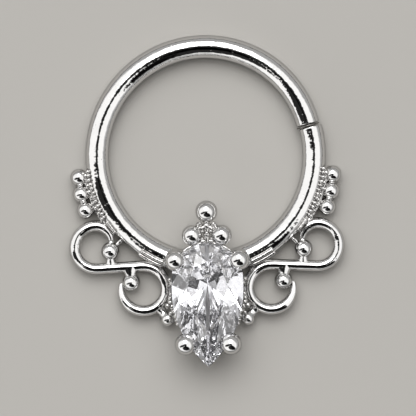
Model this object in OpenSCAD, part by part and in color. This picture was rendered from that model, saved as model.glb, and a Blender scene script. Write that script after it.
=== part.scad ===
// Septum ring: a round wire hoop with one seam, a pear cut stone in a four prong
// basket, an S-scroll wing on each side, a bead trefoil over the stone and rows of
// beads and fine granules along the hoop. It lies on its back on the plane z = 0,
// with the stone facing up (+Z), the hoop towards +Y and the stone's tip towards -Y.

/* [Hoop] */
// Inside diameter of the hoop
hoop_bore = 10; // [9:0.1:11]
// Diameter of the hoop wire
hoop_wire = 1.2; // [1:0.05:1.4]
// Angle of the seam above the hoop's right-hand side
seam_angle = 15.3; // [8:0.1:30]
// Gap between the two wire ends at the seam
seam_gap = 0.07; // [0.04:0.01:0.2]
// Chamfer round each wire end
seam_chamfer = 0.08; // [0.03:0.01:0.15]
// How far the upper wire end springs inward at the seam
seam_step = 0.08; // [0.02:0.01:0.15]

/* [Stone] */
// Width of the pear cut stone
stone_w = 3.67; // [3.4:0.01:4]
// Length of the stone from its round head to its tip
stone_l = 6.32; // [5.8:0.01:6.8]
// Straight stretch of the outline between the head and the side arcs
stone_belt = 0.54; // [0.2:0.01:0.8]
// Height of the crown above the girdle
crown_h = 0.6; // [0.4:0.01:0.8]
// Thickness of the girdle
girdle_h = 0.12; // [0.08:0.01:0.2]
// Depth of the pavilion below the girdle
pavilion_h = 1.65; // [1.4:0.01:1.7]
// Size of the table as a share of the outline
table_share = 0.55; // [0.45:0.01:0.65]
// Height of the star facets' feet as a share of the crown
star_share = 0.55; // [0.5:0.01:0.6]
// Height of the lower half facets' inner ends as a share of the pavilion
brilliant_share = 0.24; // [0.15:0.01:0.35]
// Height of the culet above the plane that the ring lies on
culet_z = 0.23; // [0.15:0.01:0.6]
// Clearance between the stone and its setting
stone_clear = 0.03; // [0.02:0.01:0.06]

/* [Basket] */
// How far the stone's head stands inside the hoop's inner edge
head_reach = 0.48; // [0.3:0.01:0.7]
// Height of the base band
base_h = 0.5; // [0.4:0.01:0.7]
// Wall of the base band and of the seat rail
band_wall = 0.32; // [0.25:0.01:0.45]
// Inset of the base band from the stone's outline
base_inset = 0.12; // [0.08:0.01:0.3]
// Inset of the seat rail from the stone's outline
seat_inset = 0.06; // [0.04:0.01:0.15]
// Height of the seat rail
seat_h = 0.42; // [0.3:0.01:0.55]
// Diameter of the posts between the base band and the seat rail
post_d = 0.36; // [0.3:0.01:0.5]
// Diameter of the prong wires
prong_d = 0.5; // [0.4:0.01:0.6]
// Diameter of the balls that tip the prongs
prong_ball = 0.98; // [0.85:0.01:1.1]
// Height of the ball centres above the girdle's upper edge
prong_rise = 0.12; // [0:0.01:0.25]
// Angle of the upper prongs on the stone's head
upper_prong_angle = 30.6; // [25:0.1:40]
// Angle of the lower prongs on the stone's side arcs
lower_prong_angle = 32; // [26:0.1:36]
// Distance of the upper ball centres outside the stone's outline
upper_prong_out = 0.07; // [0:0.01:0.2]
// Distance of the lower ball centres outside the stone's outline
lower_prong_out = 0.13; // [0:0.01:0.2]
// Distance of the tip post's foot from the stone's tip
tip_post_foot = 0.55; // [0.5:0.01:0.65]
// Distance of the tip post's head from the stone's tip
tip_post_head = 0.5; // [0.45:0.01:0.6]

/* [Scrolls] */
// Diameter of the scroll wire
scroll_wire = 0.57; // [0.5:0.01:0.65]
// Radius of the upper loop at the middle of its wire
upper_loop_r = 1.11; // [1:0.01:1.25]
// Radius of the lower loop at the middle of its wire
lower_loop_r = 1.16; // [1.05:0.01:1.3]
// Radius of the tighter curl that ends the upper loop
curl_r = 0.77; // [0.7:0.01:0.85]
// Room between the two loops along the line of their centres
loop_room = 0.97; // [0.8:0.01:1.2]
// Slope of the line from the lower loop's centre to the upper loop's
wing_slope = 41.8; // [38:0.1:45]
// Diameter of a wire end where it tapers under its bead
taper_d = 0.26; // [0.2:0.01:0.35]
// Turn of the curl over which its wire tapers
curl_taper = 55; // [40:1:70]
// Turn of the lower loop over which its wire tapers
lower_taper = 65; // [45:1:80]
// Depth that the lower loop is let into the hoop
loop_seat = 0.06; // [0.03:0.01:0.1]
// Gap between the lower loop and the stone's outline, seen from above
loop_clear = 0.015; // [0:0.005:0.04]

/* [Beads] */
// Diameter of the bead at the end of the upper loop
upper_bead = 0.87; // [0.8:0.01:0.95]
// Distance of the upper bead's centre inside the middle of the curl's wire
upper_bead_in = 0.05; // [0:0.01:0.1]
// Distance of the upper bead's top below the curl's centre
upper_bead_drop = 0.11; // [0.05:0.01:0.15]
// Diameter of the bead inside the lower loop
lower_bead = 0.86; // [0.8:0.01:0.95]
// Distance of the lower bead from the middle of the loop's wire
lower_bead_in = 0.45; // [0.4:0.01:0.55]
// Angle of the lower bead in its loop
lower_bead_angle = 26.7; // [20:0.1:35]
// Diameter of the small bead between the lower loop and the stone
low_bead = 0.69; // [0.6:0.01:0.8]
// Gap between the small bead and the stone's outline
low_bead_gap = 0.12; // [0.08:0.01:0.2]
// Distance of the small bead's centre below the lower loop
low_bead_drop = 0.44; // [0.4:0.01:0.5]
// Diameter of the solder that joins a scroll bead to the scroll
collar_d = 0.44; // [0.35:0.01:0.5]
// Diameter of the solder at the small bead
low_solder_d = 0.34; // [0.28:0.01:0.4]
// Diameter of the solder bridges from the scroll to the basket and to the hoop
bridge_d = 0.36; // [0.3:0.01:0.42]
// Diameter of the beads in the rows beside the hoop
row_bead = 0.9; // [0.8:0.01:1]
// Number of beads in each row
row_count = 3; // [2:1:4]
// Angle of the first row bead below the hoop's side
row_start = 9.2; // [7:0.1:12]
// How much further out each next row bead stands
row_flare = 0.09; // [0:0.01:0.12]
// Depth that one bead is let into the next, or into the hoop
bead_seat = 0.04; // [0.02:0.005:0.06]

/* [Trefoil] */
// Diameter of the top bead of the trefoil
tre_top = 1.01; // [0.9:0.01:1.1]
// Diameter of the two side beads of the trefoil
tre_side = 0.95; // [0.85:0.01:1.05]
// Half the distance between the side beads
tre_spread = 0.76; // [0.7:0.01:0.85]
// Distance of the side beads above the stone's head
tre_side_up = 0.41; // [0.35:0.01:0.5]
// Distance of the top bead above the stone's head
tre_top_up = 1.62; // [1.5:0.01:1.75]
// Depth of the trefoil's middle below the girdle's upper edge
tre_drop = 0.2; // [0:0.01:0.35]
// Diameter of the granule in the middle of the trefoil
tre_granule = 0.42; // [0.38:0.01:0.46]
// Distance of the middle granule below the point halfway between top and side beads
tre_granule_low = 0.12; // [0.08:0.01:0.16]
// Diameter of the small granules round the middle one
tre_small = 0.36; // [0.32:0.01:0.4]
// Distance of the small granule between the side beads above their centres
tre_small_low = 0.02; // [0:0.01:0.05]
// Distance of the upper small granules above the lines from the middle to the side beads
tre_small_up = 0.27; // [0.24:0.01:0.3]
// Diameter of the solder that ties the trefoil together and to the seat rail
tie_d = 0.3; // [0.25:0.01:0.35]
// Depth that a tie is let into the seat rail
tie_seat = 0.1; // [0.06:0.01:0.15]
// Angle on the stone's head where the side beads are tied to the seat rail
tie_angle = 65; // [60:1:70]

/* [Granules] */
// Diameter of a granule in the outer row beside the hoop
granule = 0.32; // [0.28:0.01:0.36]
// Distance between granules in the outer row
granule_pitch = 0.36; // [0.34:0.01:0.5]
// Diameter of a granule in the inner row, on the hoop's shoulder
fine_granule = 0.26; // [0.22:0.01:0.3]
// Distance between granules in the inner row
fine_pitch = 0.31; // [0.3:0.01:0.4]
// Diameter of the fine wire that carries the outer row
strip_wire = 0.28; // [0.22:0.01:0.34]
// Diameter of the short bar on the hoop's shoulder, past the inner row
bar_wire = 0.22; // [0.18:0.01:0.26]
// Diameter of the fine wires in the corner between scroll and hoop
corner_wire = 0.2; // [0.16:0.01:0.26]
// Angle below the hoop's side where the granules start
strip_from = 5; // [3:0.5:7]
// Angle below the hoop's side where the granules end and the bar starts
granules_to = 32; // [30:0.5:34]
// Angle below the hoop's side where the fine wire and the bar end
strip_to = 40; // [38:0.5:44]
// Angle below the hoop's side where the corner wires start
corner_from = 55; // [52:0.5:58]
// Angle below the hoop's side where the corner wires end
corner_to = 68; // [64:0.5:70]
// Depth that granules and fine wires are let into the hoop
fine_seat = 0.03; // [0.02:0.005:0.05]

/* [Hidden] */

$fn = 48;
head_steps = 24;
side_steps = 12;
far = 5 * stone_l;

// Hoop
wire_r = hoop_wire / 2;
hoop_r = hoop_bore / 2 + wire_r;
hoop_out = hoop_r + wire_r;
spring_span = 45;
spring_at = seam_angle + spring_span;
spring_shift = seam_step / (1 - cos(spring_span));
cut_over = hoop_wire / 12;

// Outline of the stone, with the hoop's centre as the origin in plan
stone_r = stone_w / 2;
head_top = -(hoop_bore / 2 - head_reach);
head_y = head_top - stone_r;
side_y = head_y - stone_belt;
tip_y = head_top - stone_l;
tip_run = side_y - tip_y;
side_r = (tip_run * tip_run + stone_r * stone_r) / (2 * stone_r);
side_x = side_r - stone_r;
side_span = acos(side_x / side_r);
centre_y = (head_y + side_y) / 2;

// Heights of the stone
girdle_low = culet_z + pavilion_h;
girdle_top = girdle_low + girdle_h;
table_z = girdle_top + crown_h;

// The box of the whole ring is centred on the origin in plan
plan_y = -(hoop_out + tip_y) / 2;

// Scroll wings, on the right-hand side
scroll_r = scroll_wire / 2;
lower_x = stone_r + loop_clear + scroll_r + lower_loop_r;
lower_far = hoop_out + lower_loop_r + scroll_r - loop_seat;
lower_c = [lower_x, -sqrt(lower_far * lower_far - lower_x * lower_x)];
loop_pitch = upper_loop_r + lower_loop_r + loop_room;
upper_c = lower_c + loop_pitch * [cos(wing_slope), sin(wing_slope)];
curl_c = upper_c + [0, upper_loop_r - curl_r];
// Direction of the straight stretch from the upper loop to the lower one
s_turn = asin((upper_loop_r + lower_loop_r) / loop_pitch);
s_dir = wing_slope + 180 - s_turn;
s_from = upper_c + upper_loop_r * [cos(s_dir + 90), sin(s_dir + 90)];
// Where the curl and the lower loop end, and where the curl is soldered to the hoop
curl_end = 184;
lower_end = 373;
link_turn = 150;
curl_link = curl_c + curl_r * [cos(link_turn), sin(link_turn)];

// Bead places
upper_bead_c = curl_c + [upper_bead_in - curl_r, -upper_bead / 2 - upper_bead_drop];
lower_bead_c = lower_c
    + (lower_loop_r - lower_bead_in) * [cos(lower_bead_angle), sin(lower_bead_angle)];
low_bead_y = lower_c[1] - lower_loop_r - low_bead_drop;
low_bead_c = [edge_x(low_bead_y) + low_bead_gap + low_bead / 2, low_bead_y];

// Prongs and trefoil
ball_z = girdle_top + prong_rise;
tre_z = girdle_top - tre_drop;

// Half the width of the stone's outline at a height y in plan, on its side arcs
function edge_x(y) = sqrt(side_r * side_r - (y - side_y) * (y - side_y)) - side_x;

// A point of the outline with the given outward normal, moved in by an inset
function edge_point(normal, inset = 0) =
    normal >= 0 && normal <= 180
        ? [(stone_r - inset) * cos(normal),
           (normal == 0 || normal == 180 ? centre_y : head_y) + (stone_r - inset) * sin(normal)]
    : normal > 180 && normal <= 180 + side_span
        ? [side_x + (side_r - inset) * cos(normal), side_y + (side_r - inset) * sin(normal)]
    : normal >= 360 - side_span
        ? [-side_x + (side_r - inset) * cos(normal), side_y + (side_r - inset) * sin(normal)]
    : [0, tip_y + inset / sin(side_span)];

// The stone's outline, moved in by an inset: head arc, left side arc, right side arc
function outline(inset) =
    let (span = acos(side_x / (side_r - inset)))
    concat(
        [for (i = [0 : head_steps])
            [(stone_r - inset) * cos(180 * i / head_steps),
             head_y + (stone_r - inset) * sin(180 * i / head_steps)]],
        [for (i = [0 : side_steps])
            [side_x + (side_r - inset) * cos(180 + span * i / side_steps),
             side_y + (side_r - inset) * sin(180 + span * i / side_steps)]],
        [for (i = [1 : side_steps])
            [-side_x + (side_r - inset) * cos(360 - span * (1 - i / side_steps)),
             side_y + (side_r - inset) * sin(360 - span * (1 - i / side_steps))]]);

// Facet planes are [point, outward unit normal]
inside_point = [0, centre_y, girdle_low];
function unit(v) = v / norm(v);
function plane_of(a, b, c) =
    let (n = unit(cross(b - a, c - a)))
    [a, n * (a - inside_point) < 0 ? -n : n];
// The point where three planes meet
function meet(p, q, r) =
    let (qr = cross(q[1], r[1]), rp = cross(r[1], p[1]), pq = cross(p[1], q[1]))
    ((p[0] * p[1]) * qr + (q[0] * q[1]) * rp + (r[0] * r[1]) * pq) / (p[1] * qr);
function level(z) = [[0, 0, z], [0, 0, 1]];
function at_z(point, z) = [point[0], point[1], z];

// Normals at which the eight main facets and the half facets between them touch the girdle
main_normals = [90, 135, 180, 180 + side_span / 2, 270, 360 - side_span / 2, 0, 45];
half_normals = [112.5, 157.5, 180 + side_span / 4, 180 + side_span * 3 / 4,
                360 - side_span * 3 / 4, 360 - side_span / 4, 22.5, 67.5];
mains = [for (n = main_normals) edge_point(n)];
halves = [for (n = half_normals) edge_point(n)];
count = len(mains);
function next(k) = (k + 1) % count;
function prev(k) = (k + count - 1) % count;
function along(k) = [-sin(main_normals[k]), cos(main_normals[k]), 0];

star_z = girdle_top + crown_h * star_share;
brilliant_z = culet_z + pavilion_h * brilliant_share;
culet = [0, centre_y, culet_z];
crown_mains = [for (k = [0 : count - 1])
    let (foot = at_z(mains[k], girdle_top),
         rim = [0, centre_y] + table_share * (mains[k] - [0, centre_y]))
    plane_of(foot, foot + along(k), at_z(rim, table_z))];
pavilion_mains = [for (k = [0 : count - 1])
    let (foot = at_z(mains[k], girdle_low))
    plane_of(foot, foot + along(k), culet)];
table_corners = [for (k = [0 : count - 1])
    meet(crown_mains[k], crown_mains[next(k)], level(table_z))];
table_middles = [for (k = [0 : count - 1])
    (table_corners[k] + table_corners[prev(k)]) / 2];
star_feet = [for (k = [0 : count - 1])
    meet(crown_mains[k], crown_mains[next(k)], level(star_z))];
brilliant_tops = [for (k = [0 : count - 1])
    meet(pavilion_mains[k], pavilion_mains[next(k)], level(brilliant_z))];
stars = [for (k = [0 : count - 1])
    plane_of(table_middles[k], table_middles[next(k)], star_feet[k])];
upper_halves = [for (k = [0 : count - 1]) for (end = [k, next(k)])
    plane_of(star_feet[k], at_z(mains[end], girdle_top), at_z(halves[k], girdle_top))];
lower_halves = [for (k = [0 : count - 1]) for (end = [k, next(k)])
    plane_of(brilliant_tops[k], at_z(mains[end], girdle_low), at_z(halves[k], girdle_low))];
all_facets = concat([level(table_z)], crown_mains, stars, upper_halves,
                    pavilion_mains, lower_halves);
seat_facets = concat([level(table_z)], crown_mains, pavilion_mains);

// The side of a facet plane that the stone lies on, moved out by a clearance
module behind_facet(facet, grow) {
    n = facet[1];
    translate(facet[0] + grow * n)
        rotate([0, acos(n[2]), atan2(n[1], n[0])])
            translate([-far / 2, -far / 2, -far])
                cube(far);
}

// The cut stone, or the space that it needs with a clearance all round
module cut_stone(facets, grow) {
    intersection() {
        translate([0, 0, culet_z - stone_l])
            linear_extrude(table_z + 2 * stone_l)
                polygon(outline(-grow));
        intersection_for (facet = facets)
            behind_facet(facet, grow);
    }
}

// A round rod between two points, with its own diameter at each end
module rod(from, to, d_from, d_to) {
    v = to - from;
    translate(from)
        rotate([0, acos(v[2] / norm(v)), atan2(v[1], v[0])])
            cylinder(h = norm(v), d1 = d_from, d2 = d_to);
}

// A bead of a given diameter
module bead(place, z, d) {
    translate([place[0], place[1], z])
        sphere(d = d);
}

// A stretch of round wire bent to an arc in the plane of the hoop
module wire_arc(centre, r, d, from, to, z = wire_r) {
    translate([centre[0], centre[1], z])
        rotate_extrude(angle = to - from, start = from)
            translate([r, 0])
                circle(d = d);
}

// The cut that bevels one wire end, with its middle at the end face and the wire along Z
module end_bevel() {
    rotate_extrude()
        polygon([[wire_r - seam_chamfer, 0], [wire_r + cut_over, 0],
                 [wire_r + cut_over, seam_chamfer + cut_over]]);
}

// The seam: a slot between the two wire ends and a bevel round each of them
module seam() {
    reach = hoop_wire * 1.5;
    rotate([0, 0, seam_angle]) {
        translate([hoop_r - reach / 2, -seam_gap / 2, wire_r - reach / 2])
            cube([reach, seam_gap, reach]);
        translate([hoop_r, -seam_gap / 2, wire_r])
            rotate([90, 0, 0])
                end_bevel();
        translate([hoop_r - seam_step, seam_gap / 2, wire_r])
            rotate([-90, 0, 0])
                end_bevel();
    }
}

// The hoop: a main arc, and an upper end that springs a little inward at the seam
module hoop() {
    spring_c = spring_shift * [cos(spring_at), sin(spring_at)];
    spring_r = hoop_r - spring_shift;
    difference() {
        union() {
            wire_arc([0, 0], hoop_r, hoop_wire, spring_at, 360 + seam_angle);
            wire_arc(spring_c, spring_r, hoop_wire,
                     spring_at - spring_span * hoop_r / spring_r, spring_at);
        }
        seam();
    }
}

// A station of the scroll wire on an arc: [x, y, direction of travel, wire diameter]
function station(c, r, a, turn, d) = [c[0] + r * cos(a), c[1] + r * sin(a), a + turn, d];

// Stations along an arc after its first point, with the wire's diameter at both ends
function stations(c, r, from, to, steps, d_from, d_to) =
    [for (i = [1 : steps])
        station(c, r, from + (to - from) * i / steps, to > from ? 90 : -90,
                d_from + (d_to - d_from) * i / steps)];

// The scroll's stations, from the curl's tip over the upper loop to the lower loop's tip
tip_d = taper_d * 0.7;
tip_turn = 2;
curl_full = curl_end - curl_taper;
lower_full = lower_end - lower_taper;
scroll_path = concat(
    [station(curl_c, curl_r, curl_end, -90, tip_d)],
    stations(curl_c, curl_r, curl_end, curl_full, 6, taper_d, scroll_wire),
    stations(curl_c, curl_r, curl_full, 90, 4, scroll_wire, scroll_wire),
    stations(upper_c, upper_loop_r, 90, s_dir + 90 - 360, 20, scroll_wire, scroll_wire),
    [station(lower_c, lower_loop_r, s_dir - 90, 90, scroll_wire)],
    stations(lower_c, lower_loop_r, s_dir - 90, lower_full, 22, scroll_wire, scroll_wire),
    stations(lower_c, lower_loop_r, lower_full, lower_end, 7, scroll_wire, taper_d),
    [station(lower_c, lower_loop_r, lower_end + tip_turn, 90, tip_d)]);

// The S-scroll of the right-hand wing: round wire swept along its stations
module scroll() {
    sides = 14;
    rings = len(scroll_path);
    points = [for (s = scroll_path) for (i = [0 : sides - 1])
        let (a = 360 * (i + 0.5) / sides, r = s[3] / 2)
        [s[0] + r * cos(a) * sin(s[2]), s[1] - r * cos(a) * cos(s[2]), wire_r + r * sin(a)]];
    walls = [for (k = [0 : rings - 2]) for (i = [0 : sides - 1])
        let (j = (i + 1) % sides)
        [k * sides + j, (k + 1) * sides + j, (k + 1) * sides + i, k * sides + i]];
    ends = [[for (i = [sides - 1 : -1 : 0]) i],
            [for (i = [0 : sides - 1]) (rings - 1) * sides + i]];
    polyhedron(points, concat(walls, ends), convexity = 8);
}

// The foot of a point on the straight stretch of the scroll
function s_foot(p) =
    let (d = [cos(s_dir), sin(s_dir)])
    s_from + ((p - s_from) * d) * d;

// The beads on the scroll, each with the solder collar that holds it
module scroll_beads() {
    bead(upper_bead_c, wire_r, upper_bead);
    rod(at_z(upper_bead_c, wire_r), at_z(s_foot(upper_bead_c), wire_r), collar_d, collar_d);
    bead(lower_bead_c, wire_r, lower_bead);
    rod(at_z(lower_bead_c, wire_r), at_z(s_foot(lower_bead_c), wire_r), collar_d, collar_d);
}

// The small low bead, soldered to the lower loop and to the basket
module low_bead_joint() {
    loop_side = lower_c + lower_loop_r * unit(low_bead_c - lower_c);
    bead(low_bead_c, wire_r, low_bead);
    rod(at_z(low_bead_c, wire_r), at_z(loop_side, wire_r), low_solder_d, low_solder_d);
    to_band(low_bead_c, band_point(low_bead_y), low_solder_d);
}

// A point in the middle of the base band's wall beside a height y in plan
function band_point(y) = [edge_x(y) - base_inset - band_wall / 2, y];

// Solder that runs a little down and thinner from a place on the wing to the base band
module to_band(from, band, d) {
    rod(at_z(from, base_h * 0.8), at_z(band, base_h * 0.6), d, d * 0.8);
}

// Solder bridges of the wing: lower loop to basket, and the curl to the hoop
module wing_solder() {
    loop_side = [lower_c[0] - lower_loop_r, lower_c[1]];
    to_band(loop_side, [stone_r - base_inset - band_wall / 2, lower_c[1]], bridge_d);
    rod(at_z(curl_link, wire_r), at_z(hoop_r * unit(curl_link), wire_r), bridge_d, bridge_d);
}

// The row of beads beside the hoop
module bead_row() {
    for (i = [0 : row_count - 1]) {
        r = hoop_out + row_bead / 2 - bead_seat / 2 + row_flare * i;
        step = (row_bead - bead_seat) / r * 180 / PI;
        a = -row_start - step * i;
        bead(r * [cos(a), sin(a)], wire_r, row_bead);
    }
}

// Where something round of diameter d lies on the hoop, at an angle round its wire: [radius, z]
function on_hoop(rise, d) =
    [hoop_r, wire_r] + (wire_r + d / 2 - fine_seat) * [cos(rise), sin(rise)];

// A fine wire laid along the hoop, between two angles below the hoop's side
module laid_wire(rise, d, from, to) {
    place = on_hoop(rise, d);
    wire_arc([0, 0], place[0], d, -to, -from, place[1]);
}

// A row of granules laid along the hoop, between two angles below the hoop's side
module laid_granules(rise, d, pitch, from, to) {
    place = on_hoop(rise, d);
    step = pitch / place[0] * 180 / PI;
    for (a = [from : step : to])
        bead(place[0] * [cos(a), -sin(a)], place[1], d);
}

// The strip beside the bead row: two rows of granules, the wire under them and a short bar
module granule_strip() {
    half_step = granule_pitch / hoop_out * 90 / PI;
    laid_wire(7, strip_wire, strip_from, strip_to);
    laid_wire(40, bar_wire, granules_to + half_step, strip_to);
    laid_granules(18, granule, granule_pitch, strip_from + half_step, granules_to);
    laid_granules(46, fine_granule, fine_pitch, strip_from, granules_to);
}

// Two fine wires that lie side by side on the hoop's shoulder, in the corner at the basket
module corner_wires() {
    for (rise = [39, 60])
        laid_wire(rise, corner_wire, corner_from, corner_to);
}

// Everything of one wing, on the right-hand side
module wing() {
    scroll();
    scroll_beads();
    low_bead_joint();
    wing_solder();
    bead_row();
    granule_strip();
    corner_wires();
}

// A flat band that follows the stone's outline
module outline_band(inset, z, h) {
    translate([0, 0, z])
        linear_extrude(h)
            difference() {
                polygon(outline(inset));
                polygon(outline(inset + band_wall));
            }
}

// One prong: a leaning wire from the base band to the ball at the girdle
module prong(foot, top) {
    rod(at_z(foot, base_h / 2), at_z(top, ball_z), prong_d, prong_d);
    bead(top, ball_z, prong_ball);
}

// The basket: base band, seat rail, posts between them and four ball prongs
module basket() {
    seat_z = girdle_low - seat_h;
    post_in = base_inset + band_wall / 2;
    upper = upper_prong_angle;
    lower = 360 - lower_prong_angle;
    outline_band(base_inset, 0, base_h);
    outline_band(seat_inset, seat_z, seat_h);
    for (n = [90, 0, 180])
        rod(at_z(edge_point(n, post_in), base_h / 2),
            at_z(edge_point(n, post_in), seat_z + seat_h / 2), post_d, post_d);
    for (side = [0, 1])
        mirror([side, 0, 0]) {
            prong(edge_point(upper, post_in), edge_point(upper, -upper_prong_out));
            prong(edge_point(lower, post_in), edge_point(lower, -lower_prong_out));
        }
    rod([0, tip_y + tip_post_foot, base_h / 2],
        [0, tip_y + tip_post_head, seat_z + seat_h / 2], post_d, post_d);
}

// The bead trefoil over the stone's head, with the granules that bind it
module trefoil() {
    top = [0, head_top + tre_top_up];
    side_c = [tre_spread, head_top + tre_side_up];
    middle = [0, (top[1] + side_c[1]) / 2 - tre_granule_low];
    rail = edge_point(tie_angle, seat_inset + band_wall / 2);
    bead(top, tre_z, tre_top);
    bead(middle, tre_z, tre_granule);
    bead([0, side_c[1] + tre_small_low], tre_z, tre_small);
    rod(at_z(top, tre_z), [0, head_top - tie_seat, tre_z], tie_d, tie_d);
    for (side = [0, 1])
        mirror([side, 0, 0]) {
            bead(side_c, tre_z, tre_side);
            bead((middle + side_c) / 2 + [0, tre_small_up], tre_z, tre_small);
            rod(at_z(side_c, tre_z), at_z(middle, tre_z), tie_d, tie_d);
            rod(at_z(side_c, tre_z), at_z(rail, girdle_low - tie_seat), tie_d, tie_d);
        }
}

// All the soldered metal of the ring, in one solid, with the seat cut for the stone
module ring_frame() {
    color("silver")
        translate([0, plan_y, 0])
            difference() {
                union() {
                    hoop();
                    wing();
                    mirror([1, 0, 0])
                        wing();
                    basket();
                    trefoil();
                }
                cut_stone(seat_facets, stone_clear);
            }
}

// The pear cut stone
module pear_stone() {
    color("lavender")
        translate([0, plan_y, 0])
            cut_stone(all_facets, 0);
}

ring_frame();
pear_stone();
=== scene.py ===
"""The looks of a septum ring: polished steel wire, beads and granules round a pear cut stone.

The ring lies on its back on a pale floor, seen from straight above. Lengths are in mm, and places
in plan are measured from the hoop's centre, until a shell becomes a piece of the row frame.
"""

import logging
import math
from dataclasses import dataclass
from enum import Enum

import bmesh
import bpy
import numpy as np
from mathutils import Matrix, Vector, noise


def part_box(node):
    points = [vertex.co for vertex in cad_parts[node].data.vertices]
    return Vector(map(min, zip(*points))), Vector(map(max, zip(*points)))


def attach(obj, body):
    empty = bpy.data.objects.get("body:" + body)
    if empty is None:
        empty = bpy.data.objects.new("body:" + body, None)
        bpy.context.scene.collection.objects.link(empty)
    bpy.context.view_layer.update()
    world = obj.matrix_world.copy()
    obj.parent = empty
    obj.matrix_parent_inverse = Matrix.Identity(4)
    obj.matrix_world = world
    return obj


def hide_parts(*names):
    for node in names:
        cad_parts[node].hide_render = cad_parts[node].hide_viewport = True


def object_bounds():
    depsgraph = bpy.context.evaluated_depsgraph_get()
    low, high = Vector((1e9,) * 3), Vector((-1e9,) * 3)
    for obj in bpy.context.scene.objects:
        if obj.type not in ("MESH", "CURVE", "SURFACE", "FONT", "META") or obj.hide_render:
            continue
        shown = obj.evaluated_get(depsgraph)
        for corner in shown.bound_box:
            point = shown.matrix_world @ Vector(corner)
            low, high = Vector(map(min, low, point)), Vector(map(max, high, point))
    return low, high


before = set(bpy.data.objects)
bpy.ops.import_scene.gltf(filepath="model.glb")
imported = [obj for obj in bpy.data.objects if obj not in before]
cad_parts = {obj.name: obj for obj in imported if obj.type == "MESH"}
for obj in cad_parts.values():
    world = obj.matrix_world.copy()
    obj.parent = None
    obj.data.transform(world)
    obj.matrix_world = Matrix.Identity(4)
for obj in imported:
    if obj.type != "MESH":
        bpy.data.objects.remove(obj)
CAD_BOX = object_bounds()

LOG = logging.getLogger("septum_ring")
MM = 0.001
FRAME_NODE = "ring_frame"
STONE_NODE = "pear_stone"
NOISE_SEED = 1

# The rounding at the ends of a rod, as a share of its diameter, and the share of that rounding
# that its first ring takes.
ROD_EDGE = 0.15
ROD_EDGE_STEP = 0.3

# Rings along a piece of solder, the least and the largest radius that is tried for its hollow,
# and its least radius as a share of its waist.
SOLDER_RINGS = 18
HOLLOW_MIN = 0.03
HOLLOW_MAX = 5.0
THINNEST = 0.2

# Where the rings lie in the rounded end of the hoop's wire, and where its plain stretch starts,
# as shares of the rounding.
END_RINGS = np.array([0, 0.12, 0.3, 0.55, 0.8, 1.0])
PAST_END = 1.5


class Side(Enum):
    """The two mirrored wings of the ring, with the sign of their x."""

    RIGHT = 1
    LEFT = -1


class Slot(Enum):
    """The record's material slots."""

    STEEL = "polished_steel"
    STONE = "clear_stone"


def polar(radius: float, degrees: float) -> np.ndarray:
    """A point in plan at a radius and an angle from the hoop's centre."""
    return radius * np.array([math.cos(math.radians(degrees)), math.sin(math.radians(degrees))])


def lift(place: np.ndarray, z: float) -> np.ndarray:
    """A point in plan raised to a height."""
    return np.array([place[0], place[1], z])


def unit(vector: np.ndarray) -> np.ndarray:
    """The vector at length 1."""
    return vector / np.linalg.norm(vector)


@dataclass(frozen=True)
class Ripple:
    """The slight unevenness of one kind of hand polished piece.

    Args:
        amount: How far a point of the surface may move.
        pitch: Length of a wave.
    """

    amount: float
    pitch: float


@dataclass
class Shell:
    """A closed mesh in the making, in mm.

    Args:
        points: One row for each corner.
        faces: The corner numbers of each face.
    """

    points: np.ndarray
    faces: list[tuple[int, ...]]

    @staticmethod
    def joined(shells: list["Shell"]) -> "Shell":
        """Several shells as one.

        Args:
            shells: The shells to put together.

        Returns:
            A shell that holds them all.
        """
        points, faces, start = [], [], 0
        for shell in shells:
            points.append(shell.points)
            faces.extend(tuple(start + i for i in f) for f in shell.faces)
            start += len(shell.points)
        return Shell(np.vstack(points), faces)

    def mirrored(self, side: Side) -> "Shell":
        """The shell for one side, from the shell of the right-hand side.

        Args:
            side: The side that the shell is for.

        Returns:
            The same shell, or its mirror image.
        """
        if side is Side.RIGHT:
            return self
        return Shell(self.points * [-1, 1, 1], [tuple(reversed(f)) for f in self.faces])

    def wavy(self, ripple: Ripple, seed: float) -> "Shell":
        """The shell with the unevenness of its kind of piece.

        Args:
            ripple: The unevenness.
            seed: Where in the noise the shell lies.

        Returns:
            A moved copy.
        """
        moved = self.points.copy()
        for i, point in enumerate(self.points):
            place = Vector(point / ripple.pitch) + Vector((seed, 2 * seed, 3 * seed))
            moved[i] += ripple.amount * np.array(noise.noise_vector(place))
        return Shell(moved, self.faces)

    def kept_in(self, low: np.ndarray, high: np.ndarray) -> "Shell":
        """The shell with nothing outside a box."""
        return Shell(np.clip(self.points, low, high), self.faces)


def ball(centre: np.ndarray, diameter: float, fineness: int = 4) -> Shell:
    """A round bead.

    Args:
        centre: Its centre.
        diameter: Its diameter.
        fineness: How often the faces of the first solid are cut in four.

    Returns:
        The bead's shell.
    """
    work = bmesh.new()
    bmesh.ops.create_icosphere(work, subdivisions=fineness, radius=diameter / 2)
    points = np.array([v.co for v in work.verts]) + centre
    faces = [tuple(v.index for v in f.verts) for f in work.faces]
    work.free()
    return Shell(points, faces)


def granule(centre: np.ndarray, diameter: float) -> Shell:
    """A small bead, with as few faces as its size needs."""
    return ball(centre, diameter, 3)


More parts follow.
